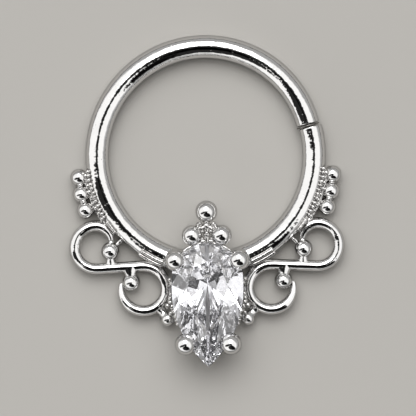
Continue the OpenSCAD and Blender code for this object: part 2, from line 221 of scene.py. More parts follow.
def tube(path: np.ndarray, radii: np.ndarray, sides: int = 32) -> Shell:
    """A round wire swept along a path, closed at both ends.

    Args:
        path: The points of its middle line.
        radii: The wire's radius at each point.
        sides: Corners round the wire.

    Returns:
        The wire's shell.
    """
    travel = np.gradient(path, axis=0)
    travel /= np.linalg.norm(travel, axis=1)[:, None]
    steep = 0.9
    first = np.array([0.0, 0.0, 1.0]) if abs(travel[0][2]) < steep else np.array([1.0, 0.0, 0.0])
    turns = 2 * math.pi * (np.arange(sides) + 0.5) / sides
    rings, up = [], first
    for place, ahead, radius in zip(path, travel, radii):
        up = unit(up - np.dot(up, ahead) * ahead)
        across = np.cross(ahead, up)
        rings.append(place + radius * (np.outer(np.cos(turns), across) + np.outer(np.sin(turns), up)))
    points = np.vstack(rings + [path[:1], path[-1:]])
    faces = []
    for k in range(len(path) - 1):
        for i in range(sides):
            j = (i + 1) % sides
            faces.append((k * sides + i, (k + 1) * sides + i, (k + 1) * sides + j, k * sides + j))
    last, start, end = (len(path) - 1) * sides, len(points) - 2, len(points) - 1
    for i in range(sides):
        j = (i + 1) % sides
        faces.append((start, i, j))
        faces.append((end, last + j, last + i))
    return Shell(points, faces)


def rod(start: np.ndarray, end: np.ndarray, d_start: float, d_end: float) -> Shell:
    """A straight round rod with rounded ends.

    Args:
        start: Middle of its first end.
        end: Middle of its second end.
        d_start: Diameter at the first end.
        d_end: Diameter at the second end.

    Returns:
        The rod's shell.
    """
    length = float(np.linalg.norm(end - start))
    edge = min(d_start, d_end) * ROD_EDGE
    first = edge * ROD_EDGE_STEP
    shank = np.linspace(edge, length - edge, 8)[1:-1]
    places = np.array([0, first, edge, *shank, length - edge, length - first, length])
    radii = (d_start + (d_end - d_start) * places / length) / 2
    radii[[0, -1]] -= edge
    radii[[1, -2]] -= first
    return tube(start + np.outer(places / length, end - start), radii, 24)


def neck(a: np.ndarray, r_a: float, b: np.ndarray, r_b: float, waist: float,
         flare: float = 0.0, along: np.ndarray | None = None) -> Shell:
    """The solder that joins two round things: a hollow curve tangent to both of them.

    Args:
        a: Centre of the first ball.
        r_a: Radius of the first ball.
        b: Centre of the second ball, or the nearest point of a wire's middle line.
        r_b: Radius of the second ball or wire.
        waist: Radius of the solder where it is thinnest.
        flare: How much wider the solder spreads along a wire at its second end.
        along: Direction of that wire.

    Returns:
        The solder's shell.
    """
    gap = float(np.linalg.norm(b - a))
    hair = 0.001
    low, high = max(HOLLOW_MIN, (gap - r_a - r_b) / 2 + hair), HOLLOW_MAX
    for _ in range(40):
        f = (low + high) / 2
        x = (gap * gap + (r_a + f) ** 2 - (r_b + f) ** 2) / (2 * gap)
        h = math.sqrt(max((r_a + f) ** 2 - x * x, 0))
        low, high = (f, high) if h - f < waist else (low, f)
    ahead = (b - a) / gap
    from_angle = math.atan2(-h, -x)
    to_angle = math.atan2(-h, gap - x)
    angles = np.linspace(from_angle, to_angle, SOLDER_RINGS)
    places = x + f * np.cos(angles)
    radii = np.maximum(h + f * np.sin(angles), waist * THINNEST)
    shell = tube(a + np.outer(places, ahead), radii)
    if flare and along is not None:
        share = np.clip(((shell.points - a) @ ahead - places[0]) / (places[-1] - places[0]), 0, 1)
        spread = (shell.points - a) @ along
        shell.points = shell.points + np.outer(spread * flare * share ** 2, along)
    return shell


@dataclass(frozen=True)
class Collar:
    """The solder under a bead: a short stem that spreads along the wire that it stands on.

    Args:
        reach: Share of the way to the wire where the stem starts to spread.
        stem_r: Radius of the stem.
        foot_r: Half the length that the solder covers on the wire.
    """

    reach: float
    stem_r: float
    foot_r: float

    def shell(self, bead: np.ndarray, foot: np.ndarray, along: np.ndarray) -> Shell:
        """The solder of one bead.

        Args:
            bead: Centre of the bead.
            foot: Nearest point of the wire's middle line.
            along: Direction of the wire.

        Returns:
            The solder's shell.
        """
        places = np.linspace(0, 1, SOLDER_RINGS)
        stem = tube(bead + np.outer(places, foot - bead), np.full(SOLDER_RINGS, self.stem_r))
        ahead = foot - bead
        share = (stem.points - bead) @ ahead / (ahead @ ahead)
        share = np.clip((share - self.reach) / (1 - self.reach), 0, 1)
        spread = (stem.points - bead) @ along
        stretch = (self.foot_r / self.stem_r - 1) * share ** 2
        return Shell(stem.points + np.outer(spread * stretch, along), stem.faces)


def arc(centre: np.ndarray, radius: float, start: float, end: float, steps: int) -> np.ndarray:
    """Points along an arc in plan, with both of its ends.

    Args:
        centre: The arc's centre.
        radius: Its radius.
        start: Angle of its first point.
        end: Angle of its last point.
        steps: Number of stretches between points.

    Returns:
        One row for each point.
    """
    return np.array([centre + polar(radius, a) for a in np.linspace(start, end, steps + 1)])


@dataclass(frozen=True)
class Pear:
    """The stone's pear outline, as the CAD stone has it.

    Args:
        width: Width of the outline.
        length: Length of the outline.
        belt: Straight stretch between the head and the side arcs.
        head_top: Place of the head's top, from the hoop's centre.
    """

    width: float
    length: float
    belt: float
    head_top: float

    @property
    def radius(self) -> float:
        """Radius of the round head."""
        return self.width / 2

    @property
    def head_y(self) -> float:
        """Height in plan of the head's centre."""
        return self.head_top - self.radius

    @property
    def side_y(self) -> float:
        """Height in plan of the side arcs' centres."""
        return self.head_y - self.belt

    @property
    def tip_y(self) -> float:
        """Height in plan of the tip."""
        return self.head_top - self.length

    @property
    def side_r(self) -> float:
        """Radius of the side arcs."""
        run = self.side_y - self.tip_y
        return (run * run + self.radius ** 2) / (2 * self.radius)

    @property
    def side_x(self) -> float:
        """Distance of the side arcs' centres past the middle line."""
        return self.side_r - self.radius

    def half_width(self, y: float) -> float:
        """Half the outline's width at a height in plan, on the side arcs."""
        return math.sqrt(self.side_r ** 2 - (y - self.side_y) ** 2) - self.side_x

    def edge(self, normal: float, inset: float = 0.0) -> np.ndarray:
        """A point of the outline.

        Args:
            normal: Direction that the outline faces there, in degrees from 0 to 360.
            inset: How far the point is moved in.

        Returns:
            The point in plan.
        """
        if 0 < normal < 180:
            return np.array([0, self.head_y]) + polar(self.radius - inset, normal)
        if normal in (0, 180):
            return np.array([0, (self.head_y + self.side_y) / 2]) + polar(self.radius - inset, normal)
        centre = self.side_x if normal < 270 else -self.side_x
        return np.array([centre, self.side_y]) + polar(self.side_r - inset, normal)

    def outline(self, inset: float) -> np.ndarray:
        """The whole outline, with as many points at any inset.

        Args:
            inset: How far the outline is moved in.

        Returns:
            One row for each point, from the right-hand side round the head to the tip and back.
        """
        side = self.side_r - inset
        span = math.degrees(math.acos(self.side_x / side))
        head = arc(np.array([0, self.head_y]), self.radius - inset, 0, 180, 48)
        left = arc(np.array([self.side_x, self.side_y]), side, 180, 180 + span, 32)
        right = arc(np.array([-self.side_x, self.side_y]), side, 360 - span, 360, 32)
        return np.vstack([head, left, right[1:]])


@dataclass(frozen=True)
class Datum:
    """What the pieces take from the CAD frame.

    Args:
        hoop_y: Place of the hoop's centre in the frame.
        pear: The stone's outline.
        girdle_top: Height of the upper edge of the stone's girdle.
    """

    hoop_y: float
    pear: Pear
    girdle_top: float

    @staticmethod
    def from_frame(bore: float, head_reach: float, belt: float, crown_h: float) -> "Datum":
        """Reads the datum from the CAD stone's box.

        Args:
            bore: Inside diameter of the hoop.
            head_reach: How far the stone's head stands inside the hoop's inner edge.
            belt: Straight stretch of the stone's outline.
            crown_h: Height of the stone's crown.

        Returns:
            The datum.
        """
        low, high = (np.array(corner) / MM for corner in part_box(STONE_NODE))
        head_top = head_reach - bore / 2
        pear = Pear(high[0] - low[0], high[1] - low[1], belt, head_top)
        return Datum(high[1] - head_top, pear, high[2] - crown_h)


DATUM = Datum.from_frame(bore=10.0, head_reach=0.48, belt=0.54, crown_h=0.6)


@dataclass(frozen=True)
class Wear:
    """The shader node group of hand polished metal, with one set of values for a material.

    Args:
        pitch: Size of the polishing waves, as a scale of the noise.
        haze: How much the fine polishing haze roughens the surface.
        pits: Share of the surface with small pits.
        tarnish: How much the colour darkens in patches.
    """

    pitch: float
    haze: float
    pits: float
    tarnish: float

    GROUP = "hand_polish"
    CLEAN_ROUGHNESS = 0.025
    PIT_ROUGHNESS = 0.25
    PIT_SHADE = 0.4
    PIT_DEPTH = 0.8
    HAZE_FINER = 5.0
    HAZE_HEIGHT = 0.06

    @staticmethod
    def group() -> bpy.types.ShaderNodeTree:
        """The node group, built once.

        Returns:
            The group, with the inputs Pitch, Haze, Pits and Tarnish, and the outputs Tone,
            Roughness and Height.
        """
        found = bpy.data.node_groups.get(Wear.GROUP)
        if found:
            return found
        tree = bpy.data.node_groups.new(Wear.GROUP, "ShaderNodeTree")
        for name, value in (("Pitch", 1.0), ("Haze", 0.05), ("Pits", 0.1), ("Tarnish", 0.1)):
            socket = tree.interface.new_socket(name, in_out="INPUT", socket_type="NodeSocketFloat")
            socket.default_value = value
        for name in ("Tone", "Roughness", "Height"):
            tree.interface.new_socket(name, in_out="OUTPUT", socket_type="NodeSocketFloat")
        build = NodeBuild(tree)
        given = build.add("NodeGroupInput").outputs
        made = build.add("NodeGroupOutput").inputs
        in_mm = build.place_in_mm()
        waves = build.noise(in_mm, given["Pitch"], detail=2.0, roughness=0.5)
        fine = build.math("MULTIPLY", given["Pitch"], Wear.HAZE_FINER)
        haze = build.noise(in_mm, fine, detail=4.0, roughness=0.65)
        patches = build.noise(in_mm, scale=0.9, detail=3.0, roughness=0.6)
        pit = Wear.pit_mask(build, in_mm, given["Pits"])
        dark = build.math("MULTIPLY", build.ramp(patches, low=0.4, high=0.75), given["Tarnish"])
        dark = build.math("ADD", dark, build.math("MULTIPLY", pit, Wear.PIT_SHADE))
        rough = build.math("MULTIPLY_ADD", build.ramp(haze, low=0.35, high=0.75), given["Haze"],
                           Wear.CLEAN_ROUGHNESS)
        rough = build.math("MULTIPLY_ADD", pit, Wear.PIT_ROUGHNESS, rough)
        height = build.math("MULTIPLY_ADD", haze, Wear.HAZE_HEIGHT, waves)
        height = build.math("SUBTRACT", height, build.math("MULTIPLY", pit, Wear.PIT_DEPTH))
        build.link(build.math("SUBTRACT", 1.0, dark), made["Tone"])
        build.link(rough, made["Roughness"])
        build.link(height, made["Height"])
        return tree

    @staticmethod
    def pit_mask(build: "NodeBuild", in_mm: bpy.types.NodeSocket,
                 pits: bpy.types.NodeSocket) -> bpy.types.NodeSocket:
        """Where the metal has a small pit.

        Args:
            build: The group's nodes.
            in_mm: Where on the surface, in mm.
            pits: Strength of the pits.

        Returns:
            The strength in a pit, and 0 elsewhere.
        """
        whole = build.ramp(build.voronoi(in_mm, scale=4.2), low=0.05, high=0.13)
        some = build.ramp(build.noise(in_mm, scale=1.7, detail=1.0, roughness=0.5), low=0.5, high=0.6)
        pit = build.math("MULTIPLY", build.math("SUBTRACT", 1.0, whole), some)
        return build.math("MULTIPLY", pit, pits)


class NodeBuild:
    """Short calls for the shader nodes that the finishes use."""

    def __init__(self, tree: bpy.types.ShaderNodeTree) -> None:
        """Starts on a node tree."""
        self.tree = tree

    def add(self, kind: str) -> bpy.types.Node:
        """A new node of a kind."""
        return self.tree.nodes.new(kind)

    def link(self, value: bpy.types.NodeSocket | float, socket: bpy.types.NodeSocket) -> None:
        """Feeds a socket from another socket, or sets its value.

        Args:
            value: The other socket, or the value.
            socket: The socket that is fed.
        """
        if isinstance(value, bpy.types.NodeSocket):
            self.tree.links.new(value, socket)
        else:
            socket.default_value = value

    def math(self, operation: str, *values: bpy.types.NodeSocket | float) -> bpy.types.NodeSocket:
        """A math node.

        Args:
            operation: The node's operation.
            values: Its inputs.

        Returns:
            The result's socket.
        """
        node = self.add("ShaderNodeMath")
        node.operation = operation
        for value, socket in zip(values, node.inputs):
            self.link(value, socket)
        return node.outputs[0]

    def place_in_mm(self) -> bpy.types.NodeSocket:
        """The place on the surface, in mm.

        Returns:
            The place's socket.
        """
        node = self.add("ShaderNodeVectorMath")
        node.operation = "SCALE"
        self.link(self.add("ShaderNodeTexCoord").outputs["Object"], node.inputs[0])
        node.inputs["Scale"].default_value = 1 / MM
        return node.outputs["Vector"]

    def noise(self, place: bpy.types.NodeSocket, scale: bpy.types.NodeSocket | float,
              detail: float, roughness: float) -> bpy.types.NodeSocket:
        """A noise texture.

        Args:
            place: Where on the surface.
            scale: Waves in a mm.
            detail: Number of finer octaves.
            roughness: Strength of the finer octaves.

        Returns:
            The noise, about 0.5 in the mean.
        """
        node = self.add("ShaderNodeTexNoise")
        self.link(place, node.inputs["Vector"])
        self.link(scale, node.inputs["Scale"])
        node.inputs["Detail"].default_value = detail
        node.inputs["Roughness"].default_value = roughness
        return node.outputs[0]

    def voronoi(self, place: bpy.types.NodeSocket, scale: float) -> bpy.types.NodeSocket:
        """A texture of scattered points.

        Args:
            place: Where on the surface.
            scale: Number of points in a mm.

        Returns:
            The distance to the nearest point.
        """
        node = self.add("ShaderNodeTexVoronoi")
        self.link(place, node.inputs["Vector"])
        node.inputs["Scale"].default_value = scale
        return node.outputs["Distance"]

    def ramp(self, value: bpy.types.NodeSocket, low: float, high: float) -> bpy.types.NodeSocket:
        """A smooth step.

        Args:
            value: What is stepped.
            low: Where the step starts at 0.
            high: Where the step ends at 1.

        Returns:
            The step.
        """
        node = self.add("ShaderNodeMapRange")
        node.interpolation_type = "SMOOTHSTEP"
        self.link(value, node.inputs["Value"])
        node.inputs["From Min"].default_value = low
        node.inputs["From Max"].default_value = high
        return node.outputs["Result"]


@dataclass(frozen=True)
class SteelFinish:
    """Mirror polished steel with the wear of one kind of piece.

    Args:
        name: The material's name.
        colour: Grey of the clean metal.
        wear: Values of the polishing group.
        relief: Strength of the bump.
        edge: Share of the light that is mirrored where the metal turns away.
        dull: Grey of tarnished metal and of pits.
        depth: Depth of the bump.
    """

    name: str
    colour: tuple[float, float, float]
    wear: Wear
    relief: float
    edge: float = 0.45
    dull: tuple[float, float, float] = (0.16, 0.15, 0.14)
    depth: float = 0.03

    def material(self) -> bpy.types.Material:
        """The material, built the first time that it is asked for.

        Returns:
            The material.
        """
        found = bpy.data.materials.get(self.name)
        if found:
            return found
        material = bpy.data.materials.new(self.name)
        material.use_nodes = True
        build = NodeBuild(material.node_tree)
        shader = material.node_tree.nodes["Principled BSDF"]
        shader.inputs["Metallic"].default_value = 1.0
        shader.inputs["Specular Tint"].default_value = (self.edge, self.edge, self.edge, 1)
        worn = build.add("ShaderNodeGroup")
        worn.node_tree = Wear.group()
        worn.inputs["Pitch"].default_value = self.wear.pitch
        worn.inputs["Haze"].default_value = self.wear.haze
        worn.inputs["Pits"].default_value = self.wear.pits
        worn.inputs["Tarnish"].default_value = self.wear.tarnish
        tint = build.add("ShaderNodeMix")
        tint.data_type = "RGBA"
        tint.inputs["A"].default_value = (*self.dull, 1)
        tint.inputs["B"].default_value = (*self.colour, 1)
        build.link(worn.outputs["Tone"], tint.inputs["Factor"])
        build.link(tint.outputs["Result"], shader.inputs["Base Color"])
        build.link(worn.outputs["Roughness"], shader.inputs["Roughness"])
        bump = build.add("ShaderNodeBump")
        bump.inputs["Strength"].default_value = self.relief
        bump.inputs["Distance"].default_value = self.depth * MM
        build.link(worn.outputs["Height"], bump.inputs["Height"])
        build.link(bump.outputs["Normal"], shader.inputs["Normal"])
        return material


@dataclass(frozen=True)
class StoneFinish:
    """Clear cut cubic zirconia with a faint cool tint.

    Args:
        name: The material's name.
        colour: Tint of the light that passes.
        index: Index of refraction.
        clear: Share of the light that passes, past the faint milkiness.
        smudge: Roughness of the faint smudges.
    """

    name: str
    colour: tuple[float, float, float]
    index: float
    clear: float = 0.974
    smudge: float = 0.03

    def material(self) -> bpy.types.Material:
        """The stone's material.

        Returns:
            The material.
        """
        material = bpy.data.materials.new(self.name)
        material.use_nodes = True
        build = NodeBuild(material.node_tree)
        shader = material.node_tree.nodes["Principled BSDF"]
        shader.inputs["Base Color"].default_value = (*self.colour, 1)
        shader.inputs["Metallic"].default_value = 0.0
        shader.inputs["Transmission Weight"].default_value = self.clear
        shader.inputs["IOR"].default_value = self.index
        patches = build.noise(build.place_in_mm(), scale=1.3, detail=4.0, roughness=0.6)
        smudged = build.ramp(patches, low=0.5, high=0.8)
        build.link(build.math("MULTIPLY", smudged, self.smudge), shader.inputs["Roughness"])
        return material


WIRE_STEEL = SteelFinish("wire_steel", (0.74, 0.735, 0.73), Wear(2.6, 0.05, 0.5, 0.05), 0.5)
BEAD_STEEL = SteelFinish("bead_steel", (0.72, 0.715, 0.71), Wear(3.0, 0.04, 0.2, 0.04), 0.4)
# Steel painted near black: painted shade for the gap at the hoop's seam, carried by the burr there.
SEAM_SHADE_STEEL = SteelFinish("seam_shade_steel", (0.2, 0.19, 0.18), Wear(2.6, 0.15, 0.5, 0.3), 0.5)
FINE_STEEL = SteelFinish("fine_steel", (0.62, 0.61, 0.6), Wear(5.0, 0.2, 0.6, 0.3), 0.8)
CLEAR_STONE = StoneFinish("clear_zirconia", (0.96, 0.96, 1.0), 2.16)


def mesh_of(name: str, shell: Shell) -> bpy.types.Mesh:
    """A mesh of a shell, still in mm, with its faces turned outward.

    Args:
        name: The mesh's name.
        shell: Its shell.

    Returns:
        The mesh.
    """
    mesh = bpy.data.meshes.new(name)
    mesh.from_pydata(shell.points.tolist(), [], shell.faces)
    work = bmesh.new()
    work.from_mesh(mesh)
    bmesh.ops.recalc_face_normals(work, faces=work.faces)
    work.to_mesh(mesh)
    work.free()
    return mesh


@dataclass
class SeatCutter:
    """The space that the stone needs, which is cut out of the metal round it.

    Args:
        clearance: Room between stone and metal.
        corner_share: How much further a corner of the stone moves out than its faces.
        weld: Distance under which corners of the stone are one.
    """

    clearance: float = 0.035
    corner_share: float = 1.3
    weld: float = 0.001

    def tool(self) -> bpy.types.Mesh:
        """The stone's own form, grown by the clearance.

        Returns:
            Its mesh, in mm from the hoop's centre.
        """
        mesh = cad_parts[STONE_NODE].data
        work = bmesh.new()
        for vertex in mesh.vertices:
            work.verts.new(vertex.co / MM - Vector((0, DATUM.hoop_y, 0)))
        bmesh.ops.remove_doubles(work, verts=work.verts, dist=self.weld)
        hull = bmesh.ops.convex_hull(work, input=work.verts)
        inner = [e for e in hull["geom_interior"] if isinstance(e, bmesh.types.BMVert)]
        bmesh.ops.delete(work, geom=inner, context="VERTS")
        centre = sum((v.co for v in work.verts), Vector()) / len(work.verts)
        for vertex in work.verts:
            out = vertex.co - centre
            vertex.co += out.normalized() * self.clearance * self.corner_share
        bmesh.ops.recalc_face_normals(work, faces=work.faces)
        made = bpy.data.meshes.new("seat_cutter")
        work.to_mesh(made)
        work.free()
        return made

    def cut(self, mesh: bpy.types.Mesh) -> bpy.types.Mesh:
        """Cuts the stone's room out of a mesh.

        Args:
            mesh: The mesh that is cut, in mm.

        Returns:
            The cut mesh.
        """
        metal = bpy.data.objects.new("metal", mesh)
        tool = bpy.data.objects.new("seat_cutter", self.tool())
        for thing in (metal, tool):
            bpy.context.scene.collection.objects.link(thing)
        step = metal.modifiers.new("seat", "BOOLEAN")
        step.operation, step.solver, step.object = "DIFFERENCE", "MANIFOLD", tool
        graph = bpy.context.evaluated_depsgraph_get()
        made = bpy.data.meshes.new_from_object(metal.evaluated_get(graph))
        for thing in (metal, tool):
            bpy.data.objects.remove(thing)
        return made


def make_piece(name: str, shell: Shell, finish: SteelFinish, sharp: float = 40.0,
               cutter: SeatCutter | None = None) -> bpy.types.Object:
    """Turns a shell into a piece of the ring, which rides on it and stands for the CAD metal.

    Args:
        name: The piece's name.
        shell: Its shell, in mm from the hoop's centre.
        finish: Its metal.
        sharp: Angle between faces above which an edge is crisp.
        cutter: The stone's room, for a piece that reaches it.

    Returns:
        The piece.
    """
    low, high = (np.array(corner) / MM - [0, DATUM.hoop_y, 0] for corner in CAD_BOX)
    mesh = mesh_of(name, shell.kept_in(low, high))
    if cutter:
        mesh = cutter.cut(mesh)
        mesh.name = name
    mesh.transform(Matrix.Scale(MM, 4) @ Matrix.Translation((0, DATUM.hoop_y, 0)))
    mesh.shade_smooth()
    mesh.set_sharp_from_angle(angle=math.radians(sharp))
    mesh.materials.clear()
    mesh.materials.append(finish.material())
    piece = bpy.data.objects.new(name, mesh)
    bpy.context.scene.collection.objects.link(piece)
    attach(piece, "root")
    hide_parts(FRAME_NODE)
    LOG.info("%s: %d faces", name, len(mesh.polygons))
    return piece


@dataclass
class Hoop:
    """The round wire hoop with its seam, whose upper end springs a little inward.

    Args:
        bore: Inside diameter.
        wire: Diameter of the wire.
        seam_angle: Angle of the seam above the right-hand side.
        seam_gap: Gap between the two ends.
        seam_round: Rounding of the wire ends.
        seam_step: How far the upper end springs inward.
        burr: Thickness of the burr between the ends.
        burr_round: Rounding of the burr's edge.
        burr_in: How far the burr stands inward of the wire.
        spring_span: Stretch of the hoop that springs, in degrees.
        sides: Corners round the wire.
        ripple: Unevenness of the wire.
    """

    bore: float = 10.0
    wire: float = 1.2
    seam_angle: float = 15.3
    seam_gap: float = 0.15
    seam_round: float = 0.07
    seam_step: float = 0.08
    # burr: Thickness of the burr between the ends, whose near-black steel is painted shade for the
    # seam's gap.
    burr: float = 0.06
    burr_round: float = 0.01
    burr_in: float = 0.1
    spring_span: float = 45.0
    sides: int = 64
    ripple: Ripple = Ripple(0.004, 0.9)

    @property
    def wire_r(self) -> float:
        """Radius of the wire."""
        return self.wire / 2

    @property
    def middle_r(self) -> float:
        """Radius of the hoop at the middle of its wire."""
        return (self.bore + self.wire) / 2

    @property
    def outer_r(self) -> float:
        """Outside radius of the hoop."""
        return self.bore / 2 + self.wire

    def surface(self, rise: float, d: float, seat: float = 0.03) -> np.ndarray:
        """Where something round lies on the hoop.

        Args:
            rise: Angle round the wire, from its outer side upward.
            d: Diameter of what lies there.
            seat: Depth that it is let in.

        Returns:
            Its radius in plan and its height.
        """
        reach = self.wire_r + d / 2 - seat
        return np.array([self.middle_r, self.wire_r]) + polar(reach, rise)

    def toward(self, place: np.ndarray, z: float) -> np.ndarray:
        """The point of the wire's middle line that is nearest in plan to a place, at a height."""
        return lift(self.middle_r * unit(place), z)

    def middle_line(self) -> np.ndarray:
        """The wire's middle line, from the end that springs round to the other end.

        Returns:
            One row for each point in plan.
        """
        spring_at = self.seam_angle + self.spring_span
        shift = self.seam_step / (1 - math.cos(math.radians(self.spring_span)))
        spring_r = self.middle_r - shift
        half_gap = self.seam_gap / 2
        face = (half_gap - shift * math.sin(math.radians(self.spring_span))) / spring_r
        start = self.seam_angle + math.degrees(math.asin(face))
        end = 360 + self.seam_angle - math.degrees(half_gap / self.middle_r)
        spring = arc(polar(shift, spring_at), spring_r, start, spring_at, 80)
        main = arc(np.zeros(2), self.middle_r, spring_at, end, 420)
        return np.vstack([spring, main[1:]])

    def hoop_shell(self) -> Shell:
        """The wire with its two rounded ends.

        Returns:
            The wire's shell.
        """
        line = self.middle_line()
        steps = np.linalg.norm(np.diff(line, axis=0), axis=1)
        run = np.concatenate([[0], np.cumsum(steps)])
        rounding = self.seam_round * END_RINGS
        past = self.seam_round * PAST_END
        inner = run[(run > past) & (run < run[-1] - past)]
        places = np.concatenate([rounding, inner, (run[-1] - rounding)[::-1]])
        path = np.stack([np.interp(places, run, line[:, 0]), np.interp(places, run, line[:, 1]),
                         np.full(len(places), self.wire_r)], axis=1)
        near = np.minimum(places, run[-1] - places)
        bite = 1 - np.clip(near / self.seam_round, 0, 1)
        radii = self.wire_r - self.seam_round * (1 - np.sqrt(1 - bite ** 2))
        return tube(path, radii, self.sides).wavy(self.ripple, 3.1)

    def burr_shell(self) -> Shell:
        """The thin burr that shows between the two ends of the wire, in steel painted near black as
        painted shade for the seam's gap.

        Returns:
            The burr's shell.
        """
        middle = lift(polar(self.middle_r - self.burr_in, self.seam_angle), self.wire_r)
        half = lift(polar(self.burr / 2, self.seam_angle + 90), 0)
        places = np.array([[-1.0], [-0.6], [0.6], [1.0]])
        radii = self.wire_r - self.burr_round * np.array([1, 0, 0, 1])
        return tube(middle + places * half, radii, self.sides)

    def build(self, cutter: SeatCutter) -> None:
        """Makes the hoop, with its notch under the stone's head, and the burr at its seam, painted
        near black as the gap's shade.

        Args:
            cutter: The stone's room.
        """
        make_piece("hoop", self.hoop_shell(), WIRE_STEEL, cutter=cutter)
        # The burr's near-black steel is painted shade for the gap between the wire's ends.
        make_piece("seam_disc", self.burr_shell(), SEAM_SHADE_STEEL)


@dataclass
class Scroll:
    """The S-scroll of the right-hand wing: round wire, tapered at both ends.

    Args:
        hoop: The hoop that it is soldered to.
        wire: Diameter of the wire.
        upper_r: Radius of the upper loop at the middle of its wire.
        lower_r: Radius of the lower loop at the middle of its wire.
        curl_r: Radius of the tighter curl that ends the upper loop.
        room: Room between the two loops along the line of their centres.
        slope: Slope of that line.
        end_d: Diameter of a wire end.
        curl_taper: Turn of the curl over which the wire tapers.
        lower_taper: Turn of the lower loop over which the wire tapers.
        curl_end: Angle at which the curl ends.
        lower_end: Angle at which the lower loop ends.
        hoop_seat: Depth that the lower loop is let into the hoop.
        stone_room: Room between the lower loop and the stone's outline.
        ripple: Unevenness of the wire.
    """

    hoop: Hoop
    wire: float = 0.57
    upper_r: float = 1.11
    lower_r: float = 1.16
    curl_r: float = 0.77
    room: float = 0.97
    slope: float = 41.8
    end_d: float = 0.26
    curl_taper: float = 55
    lower_taper: float = 65
    curl_end: float = 184
    lower_end: float = 373
    hoop_seat: float = 0.06
    stone_room: float = 0.015
    ripple: Ripple = Ripple(0.004, 0.8)

    @property
    def z(self) -> float:
        """Height of the middle of the wire."""
        return self.hoop.wire_r

    @property
    def lower_c(self) -> np.ndarray:
        """Centre of the lower loop, which touches the hoop and nearly touches the stone.

        Returns:
            The point in plan.
        """
        x = DATUM.pear.radius + self.stone_room + self.wire / 2 + self.lower_r
        far = self.hoop.outer_r + self.lower_r + self.wire / 2 - self.hoop_seat
        return np.array([x, -math.sqrt(far * far - x * x)])

    @property
    def pitch(self) -> float:
        """Distance between the loops' centres."""
        return self.upper_r + self.lower_r + self.room

    @property
    def upper_c(self) -> np.ndarray:
        """Centre of the upper loop."""
        return self.lower_c + polar(self.pitch, self.slope)

    @property
    def curl_c(self) -> np.ndarray:
        """Centre of the curl."""
        return self.upper_c + [0, self.upper_r - self.curl_r]

    @property
    def s_dir(self) -> float:
        """Direction of the straight stretch between the loops."""
        turn = math.asin((self.upper_r + self.lower_r) / self.pitch)
        return self.slope + 180 - math.degrees(turn)

    @property
    def along(self) -> np.ndarray:
        """The straight stretch's direction in space, at length 1."""
        return lift(polar(1, self.s_dir), 0)

    @property
    def curl_tip(self) -> np.ndarray:
        """End of the curl in plan."""
        return self.curl_c + polar(self.curl_r, self.curl_end)

    @property
    def lower_tip(self) -> np.ndarray:
        """End of the lower loop in plan."""
        return self.lower_c + polar(self.lower_r, self.lower_end)

    def foot(self, place: np.ndarray) -> np.ndarray:
        """The foot of a point on the straight stretch.

        Args:
            place: The point in plan.

        Returns:
            The nearest point of the stretch's middle line, at the wire's height.
        """
        start = self.upper_c + polar(self.upper_r, self.s_dir + 90)
        ahead = polar(1, self.s_dir)
        return lift(start + np.dot(place - start, ahead) * ahead, self.z)

    def shell(self) -> Shell:
        """The wire, from the curl's end through the S to the lower loop's end.

        Returns:
            The wire's shell.
        """
        full, thin = self.wire / 2, self.end_d / 2
        curl_full = self.curl_end - self.curl_taper
        lower_full = self.lower_end - self.lower_taper
        bends = [
            (self.curl_c, self.curl_r, self.curl_end, curl_full, 36, thin, full),
            (self.curl_c, self.curl_r, curl_full, 90, 24, full, full),
            (self.upper_c, self.upper_r, 90, self.s_dir - 270, 110, full, full),
            (self.lower_c, self.lower_r, self.s_dir - 90, lower_full, 120, full, full),
            (self.lower_c, self.lower_r, lower_full, self.lower_end, 44, full, thin),
        ]
        lines = [arc(c, r, a, b, steps) for c, r, a, b, steps, _, _ in bends]
        radii = [np.linspace(r0, r1, steps + 1) for _, _, _, _, steps, r0, r1 in bends]
        straight = np.linspace(lines[2][-1], lines[3][0], 14)[1:-1]
        line = np.vstack([lines[0], lines[1][1:], lines[2][1:], straight, lines[3], lines[4][1:]])
        size = np.concatenate([radii[0], radii[1][1:], radii[2][1:], np.full(len(straight), full),
                               radii[3], radii[4][1:]])
        path = np.column_stack([line, np.full(len(line), self.z)])
        return tube(path, size, 40).wavy(self.ripple, 5.3)


@dataclass(frozen=True)
class Stay:
    """A short rod that carries a piece of the wing on the setting's base band.

    Args:
        d_outer: Its diameter at the piece.
        d_band: Its diameter at the band.
        z_outer: Its height at the piece.
        z_band: Its height at the band.
        reach: How far inside the stone's outline it ends.
    """

    d_outer: float
    d_band: float
    z_outer: float = 0.4
    z_band: float = 0.3
    reach: float = 0.28

    def shell(self, place: np.ndarray, outline_x: float) -> Shell:
        """The rod, which runs straight towards the stone's middle line.

        Args:
            place: Where it starts, in plan.
            outline_x: Half the stone's width there.

        Returns:
            The rod's shell.
        """
        end = np.array([outline_x - self.reach, place[1], self.z_band])
        return rod(lift(place, self.z_outer), end, self.d_outer, self.d_band)


